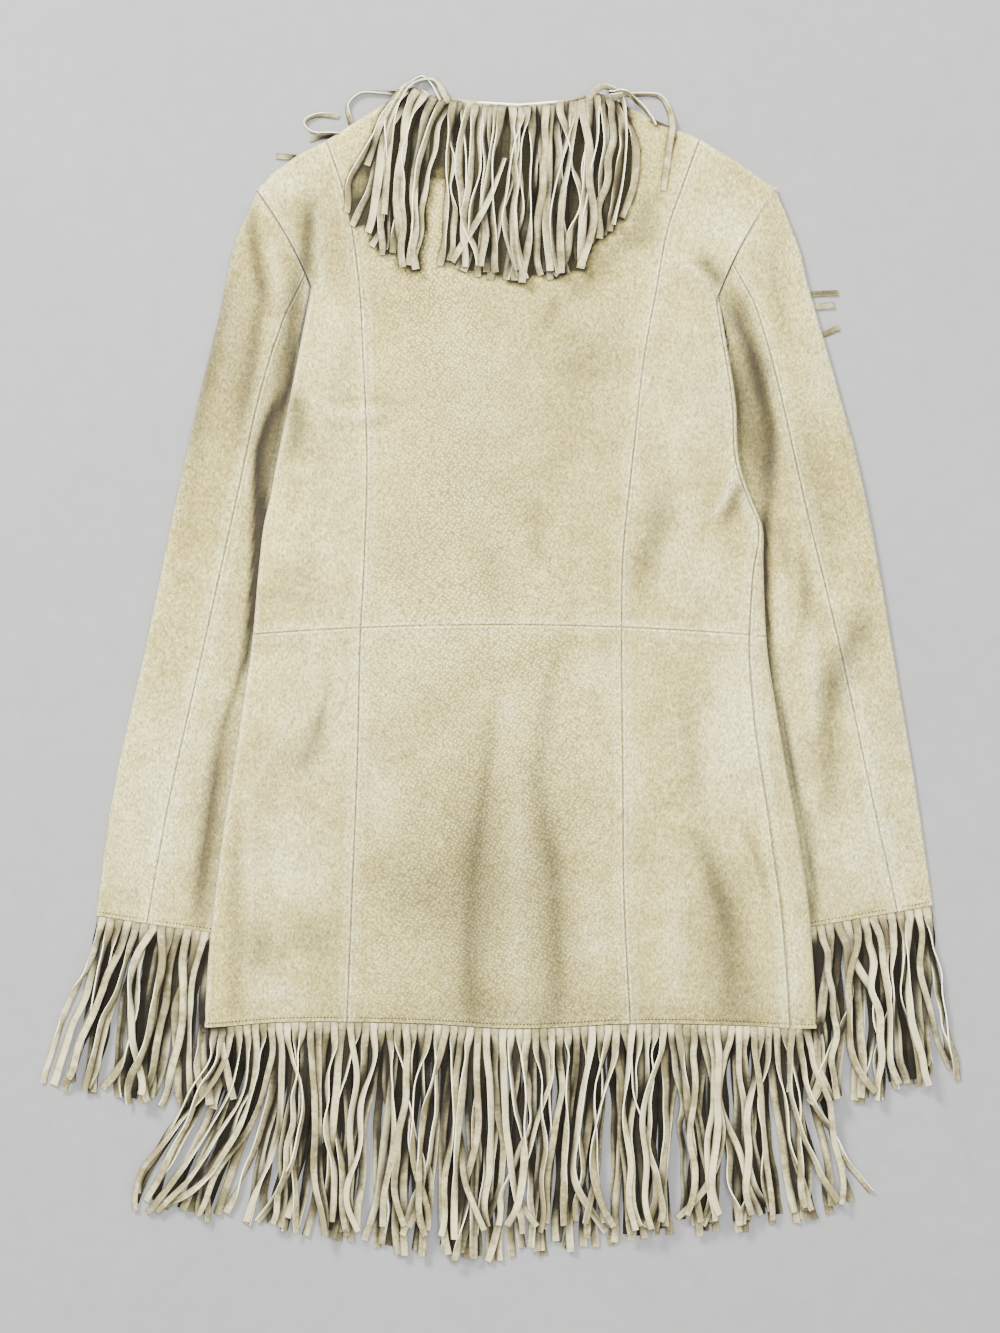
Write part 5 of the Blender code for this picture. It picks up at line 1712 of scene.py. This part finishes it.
CUFF_LEFT = Table(((0, -333.5, -231.5), (0.5, -279, -239), (1, -224, -248)))
CUFF_RIGHT = Table(((0, 220, -243), (0.5, 276, -233), (1, 332.5, -223.5)))
HIDDEN = {"scatter": 3, "covered": 0.7}
UNDER = {"root_level": 1.0, "scatter": 6, "shade": 0.25, "calm": 0.7}
OVER = {"root_level": 3.4, "scatter": 9}
FRONT_FRINGES = (
    Fringe("chest_fringe_left", 8, 6.0, 5, Layer.FLOOR, Table(((0, -152, 236), (1, -60, 180))),
           Table(((0, -150, 98), (1, -62, 70))), seed=21, shade=0.3, **HIDDEN),
    Fringe("chest_fringe_right", 9, 6.0, 5, Layer.FLOOR, Table(((0, 90, 196), (1, 156, 274))),
           Table(((0, 130, 74), (0.4, 226, 150), (0.7, 262, 238), (0.85, 258, 264), (1, 272, 280))),
           seed=22, overall_shade=0.4, **HIDDEN),
    Fringe("neck_fringe_front_left", 9, 6.0, 5, Layer.FLOOR,
           Table(((0, -84, 420), (0.4, -62, 384), (0.7, -42, 352), (1, -14, 326))),
           Table(((0, -164, 404), (0.25, -192, 352), (0.5, -168, 290), (0.75, -122, 240), (1, -66, 200))),
           seed=23, overall_shade=0.2, **HIDDEN,
           loose=(Loose(((-86, 428), (-108, 430), (-125, 429), (-134, 420), (-131, 404)),
                        (0, 60, 80, 70, 20), 4.6, 0.4),
                  Loose(((-108, 402), (-131, 397), (-150, 397), (-163, 399), (-168, 406), (-160, 411),
                         (-141, 411)), (20, 80, 90, 80, 60, 20), 4.6, 0.6),
                  Loose(((-150, 372), (-170, 377), (-191, 379)), (0, 30, 0), 4.6, 0.3))),
    Fringe("neck_fringe_front_right", 9, 6.0, 5, Layer.FLOOR,
           Table(((0, 6, 326), (0.3, 34, 352), (0.6, 54, 384), (1, 74, 416))),
           Table(((0, 14, 190), (0.25, 46, 220), (0.5, 84, 250), (0.75, 118, 300), (1, 140, 350))),
           seed=24, **HIDDEN),
    Fringe("hem_fringe_front_left", 54, 6.3, 3, Layer.BODY,
           Table(((0, -243, -321), (0.2, -194, -318), (0.6, -94, -319), (1, -6, -322))),
           Table(((0, -300, -462), (0.3, -190, -476), (0.6, -100, -496), (1, -12, -504))), seed=25, **UNDER),
    Fringe("hem_fringe_front_right", 54, 6.3, 3, Layer.BODY,
           Table(((0, -3, -322), (0.4, 98, -318), (1, 236, -321))),
           Table(((0, -4, -504), (0.4, 96, -486), (0.8, 196, -478), (1, 262, -466))), seed=26, **UNDER),
    Fringe("cuff_fringe_left_lower", 22, 6.8, 2.5, Layer.SLEEVE, CUFF_LEFT,
           Table(((0, -366, -362), (0.5, -300, -376), (1, -232, -380))), seed=27, **UNDER),
    Fringe("cuff_fringe_right_lower", 22, 6.8, 2.5, Layer.SLEEVE, CUFF_RIGHT,
           Table(((0, 220, -374), (0.5, 284, -376), (1, 350, -348))), seed=28, **UNDER),
)
BACK_FRINGES = (
    Fringe("cuff_fringe_left_upper", 16, 6.8, 2.5, Layer.SLEEVE, CUFF_LEFT,
           Table(((0, -378, -362), (0.3, -338, -372), (0.36, -312, -374), (0.66, -274, -384),
                  (1, -224, -376))), seed=31, **OVER),
    Fringe("cuff_fringe_right_upper", 16, 6.8, 2.5, Layer.SLEEVE, CUFF_RIGHT,
           Table(((0, 228, -378), (0.25, 252, -380), (0.6, 298, -372), (1, 353, -358))), seed=32, **OVER),
    Fringe("hem_fringe_back", 76, 6.25, 3, Layer.BODY,
           Table(((0, -243, -321), (0.1, -194, -317), (0.35, -74, -318), (0.5, 0, -322), (0.7, 98, -318),
                  (1, 236, -321))),
           Table(((0, -312, -452), (0.05, -290, -470), (0.115, -232, -474), (0.12, -196, -478),
                  (0.3, -104, -482), (0.5, -4, -484), (0.75, 118, -474), (0.95, 222, -470),
                  (0.97, 262, -455), (1, 290, -446))),
           root_level=4.6, seed=33, scatter=9.5),
    Fringe("neck_fringe_back", 50, 6.9, 1.2, Layer.BODY,
           Table(((0, -90, 427), (0.1, -80, 431), (0.2, -66, 425), (0.5, -4, 417), (0.78, 48, 421.5),
                  (0.9, 66, 426), (1, 82, 420))),
           Table(((0, -139, 326), (0.05, -113, 308), (0.1, -107, 301), (0.16, -97, 293), (0.22, -82, 286),
                  (0.27, -74, 287), (0.31, -56, 296), (0.36, -42, 283), (0.5, -9, 282), (0.6, 8, 278),
                  (0.7, 30, 281), (0.8, 46, 284), (0.88, 58, 292), (0.94, 70, 310), (1, 82, 324))),
           root_level=5.4, seed=34, scatter=5.5, calm=0.15, fused=False,
           lean=Table(((0, 205), (0.12, 222), (0.25, 250), (0.4, 268), (0.7, 270), (0.85, 276), (1, 305))),
           loose=(Loose(((-9, 374), (-22, 340), (-50, 293)), (60, 30, 0), 5.4, 0.7),
                  Loose(((-60, 424), (-66, 436), (-74, 443), (-86, 436), (-104, 408), (-118, 370)),
                        (70, 80, 60, 40, 30, 10), 5.2, 0.6),
                  Loose(((-54, 422), (-64, 440), (-78, 438), (-92, 420), (-100, 380), (-104, 330)),
                        (20, 70, 80, 50, 20, 0), 5.2, 0.5),
                  Loose(((60, 424), (70, 434), (82, 430), (88, 404), (86, 360), (78, 322)),
                        (20, 60, 80, 85, 80, 60), 5.2, 0.7),
                  Loose(((78, 424), (100, 428), (116, 426), (125, 408), (122, 380), (118, 350)),
                        (50, 70, 30, 10, 0), 5.2, 0.35),
                  Loose(((76, 430), (92, 426), (104, 416), (112, 402)), (80, 60, 70, 80), 5.0, 0.2))),
)


@dataclass
class Sewing(Bench):
    """Rows of thread along the hem and the cuffs, and the neck's binding."""

    pitch: float = 2.7
    inset: float = 3.1
    sunk: float = 0.05
    length: float = 1.8
    width: float = 1.1
    height: float = 0.7
    hem_span: Pair = (-244.0, 238.0)
    cuff_end: float = 3.0
    binding_ends: Pair = (28.0, -8.0)
    binding_columns: int = 70
    binding_half: float = 0.9
    binding_crown: float = 1.2
    binding_wall: float = 0.8

    def stitch_row(self, name: str, spots: Array, turns: Array) -> Piece:
        """A row of stitches as one piece, from one modelled stitch.

        Args:
            name: The piece's name.
            spots: Middle of each stitch in mm.
            turns: Direction of each stitch in radians.

        Returns:
            The row.
        """
        bpy.ops.object.select_all(action="DESELECT")
        bpy.ops.mesh.primitive_uv_sphere_add(segments=6, ring_count=5, radius=0.5)
        one = bpy.context.object
        size = self.length, self.width, self.height
        corners = np.array([vertex.co for vertex in one.data.vertices]) * size
        faces = [list(face.vertices) for face in one.data.polygons]
        cos, sin = np.cos(turns)[:, None], np.sin(turns)[:, None]
        x = corners[:, 0] * cos - corners[:, 1] * sin + spots[:, :1]
        y = corners[:, 0] * sin + corners[:, 1] * cos + spots[:, 1:2]
        z = corners[:, 2] + spots[:, 2:]
        points = np.stack((x, y, z), -1).reshape(-1, 3) + np.array((*self.cutting.shift, 0.0))
        joined = [[corner + n * len(corners) for corner in face] for n in range(len(spots)) for face in faces]
        mesh = bpy.data.meshes.new(name)
        mesh.from_pydata((points * MM).tolist(), [], joined)
        mesh.materials.append(self.looks.thread)
        one.data = mesh
        one.name = name
        bpy.ops.object.shade_smooth()
        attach(one, "root")
        return one

    def make_hem(self) -> Piece:
        """The stitches above the hem."""
        x = np.arange(*self.hem_span, self.pitch)
        y = self.pattern.hem(x) + self.inset
        z = self.relief.body_top(x, y) - self.sunk
        turns = np.arctan2(np.gradient(y), np.gradient(x))
        return self.stitch_row("hem_stitches", np.stack((x, y, z), -1), turns)

    def make_cuff(self, side: Side) -> Piece:
        """The stitches above a cuff."""
        outer, inner = (np.array(self.pattern.sleeves[side][-1][n:n + 2], float) for n in (0, 2))
        run = inner - outer
        length = np.linalg.norm(run)
        up = np.array((-run[1], run[0])) / length
        up *= np.sign(up[1])
        share = np.arange(self.cuff_end, length - self.cuff_end, self.pitch) / length
        spots = outer + run * share[:, None] + up * self.inset
        x, y = spots[:, 0], spots[:, 1]
        z = self.pattern.lift(x, y, Layer.SLEEVE) + self.pattern.sleeve_rise + self.relief.sleeve(x, y, side)
        turns = np.full(len(x), math.atan2(run[1], run[0]))
        return self.stitch_row("cuff_stitches_" + side.word, np.stack((x, y, z - self.sunk), -1), turns)

    def make_binding(self) -> Piece:
        """The thin pale edge along the back neck, sunk under the fringe at its ends."""
        first, last = (corner + end for corner, end in zip(self.pattern.neck_corners, self.binding_ends))
        x = np.linspace(first, last, self.binding_columns)
        turns = np.radians(np.linspace(-90, 90, 9))[:, None]
        y = self.pattern.top(x)[None] - 1.0 + np.sin(turns) * self.binding_half
        sunk = mix(0.9, -1.8, ease(24, 44, np.abs(x - 2)))
        z = (self.relief.body_top(x, self.pattern.top(x)) + sunk)[None] + self.binding_crown * np.cos(turns)
        points = np.dstack((np.broadcast_to(x, y.shape), y, z))
        return self.cutting.leather("neck_binding_edge", "neck_binding", "binding", points,
                                    np.zeros((*y.shape, 4)), (self.binding_wall, -1.0), [self.looks.binding])


@dataclass
class Studio:
    """Floor, lights and camera."""

    frame_height: float = 1.0664
    distance: float = 2.6
    middle: Pair = (-12.0, -29.2)
    key: float = 300.0
    fill: float = 210.0
    world: float = 1.56

    def make(self, shift: Pair, floor: Material) -> None:
        """Set up the studio round the jacket."""
        bpy.ops.object.select_all(action="DESELECT")
        bpy.ops.mesh.primitive_plane_add(size=9, location=(0, 0, -0.0002))
        ground = bpy.context.object
        ground.name = "floor"
        ground.data.materials.append(floor)
        x, y = ((place + move) * MM for place, move in zip(self.middle, shift))
        bpy.ops.object.camera_add(location=(x, y, self.distance), rotation=(0, 0, 0))
        camera = bpy.context.object
        camera.data.sensor_width = 36.0
        camera.data.lens = 36.0 * self.distance / self.frame_height
        camera.data.clip_end = 20
        bpy.context.scene.camera = camera
        self.light("key", (-1.3, 1.9, 1.9), 0.7, self.key, (1.0, 0.985, 0.96))
        self.light("fill", (0.3, 0.4, 3.0), 1.6, self.fill, (0.97, 0.985, 1.0))
        world = bpy.data.worlds.new("studio")
        world.use_nodes = True
        sky = world.node_tree.nodes["Background"].inputs
        sky["Color"].default_value = (1.0, 1.0, 1.0, 1.0)
        sky["Strength"].default_value = self.world
        bpy.context.scene.world = world

    def light(self, name: str, place: Triple, size: float, power: float, colour: Colour) -> None:
        """A soft square light that faces the jacket."""
        bpy.ops.object.light_add(type="AREA", location=place)
        lamp = bpy.context.object
        lamp.name = name
        lamp.data.size = size
        lamp.data.energy = power
        lamp.data.color = colour
        flat = math.hypot(place[0], place[1])
        lamp.rotation_euler = (0.0, math.atan2(flat, place[2]), math.atan2(place[1], place[0]))


def make_looks() -> Looks:
    """All finishes."""
    return Looks(
        suede=dress_suede(SuedeFinish("panel_suede_back")),
        edge=dress_plain(PlainFinish("cut_edge", (0.84, 0.76, 0.48), (0.60, 0.50, 0.28))),
        strands=dress_strands(StrandFinish("strand_suede")),
        strand_edge=dress_strands(StrandFinish("strand_cut_edge", (0.54, 0.485, 0.29), (0.88, 0.83, 0.56))),
        thread=dress_plain(PlainFinish("thread", (0.030, 0.023, 0.013), (0.016, 0.012, 0.007), 900)),
        binding=dress_plain(PlainFinish("neck_binding_tape", (0.96, 0.94, 0.84), (0.80, 0.77, 0.64), 900)),
        floor=dress_plain(PlainFinish("floor_paper", (0.212, 0.212, 0.210), (0.186, 0.186, 0.184), 60,
                                      bump=0.05)),
    )


def declare(body: Body, fringes: FringeWork, sewn: dict[str, list[Piece]]) -> None:
    """Work out what each panel lies on and what is sewn to it, which is not used further, and log the size
    that it was cut to.

    Args:
        body: The maker of the panels, with their sizes.
        fringes: The maker of the fringes.
        sewn: The thread and binding on each panel.
    """
    under = {"back_centre": ["front_left", "front_right"], "back_side_left": ["front_left"],
             "back_side_right": ["front_right"]}
    trim = {"back_centre_lower": ["hem_fringe_back"], "back_centre_upper": ["neck_fringe_back"]}
    for side in ("left", "right"):
        trim["front_%s_lower" % side] = ["hem_fringe_front_" + side]
        trim["front_%s_upper" % side] = ["neck_fringe_front_" + side, "chest_fringe_" + side]
        trim["sleeve_top_" + side] = ["cuff_fringe_%s_upper" % side]
        trim["sleeve_under_" + side] = ["cuff_fringe_%s_lower" % side]
    for name, piece in body.made.items():
        flat, area = body.sizes[name]
        half = "_lower" if name.endswith("lower") else "_upper"
        rests = [base + half for key, bases in under.items() if name.startswith(key) for base in bases]
        with_pieces = [fringes.made[node] for node in trim.get(name, [])] + sewn.get(name, [])
        area = min(area, flat[0] * flat[1])
        LOG.info("%s: cut %.0f x %.0f mm", name, flat[0] / MM, flat[1] / MM)


def main() -> None:
    """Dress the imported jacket."""
    logging.basicConfig(level=logging.INFO, format="%(message)s")
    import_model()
    pattern = Pattern()
    edge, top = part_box("front_left_lower")[1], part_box("back_centre_upper")[1]
    shift = (edge[0] / MM - pattern.centre_front + pattern.gap / 2,
             top[1] / MM - float(pattern.top(pattern.neck_corners[0])) + pattern.gap / 2)
    relief, cutting, looks = Relief(pattern), Cutting(shift), make_looks()
    Studio().make(shift, looks.floor)
    bench = pattern, relief, cutting, looks
    fringes = FringeWork(*bench, Pile())
    for fringe in FRONT_FRINGES:
        fringes.lay(fringe)
    outline = pattern.outline()
    fringes.pile.spread((-215, 180), (215, 436), lambda x, y: inside(x, y, outline), relief.body_top)
    for fringe in BACK_FRINGES:
        fringes.lay(fringe)
    fringes.build()
    body = Body(*bench, pile=fringes.pile)
    body.make_back()
    body.make_fronts()
    sleeves = Sleeves(*bench, body)
    for side in Side:
        sleeves.make(side)
    sewing = Sewing(*bench)
    sewn = {"back_centre_lower": [sewing.make_hem()], "back_centre_upper": [sewing.make_binding()]}
    for side in Side:
        sewn["sleeve_top_" + side.word] = [sewing.make_cuff(side)]
    declare(body, fringes, sewn)


if __name__ == "__main__":
    main()
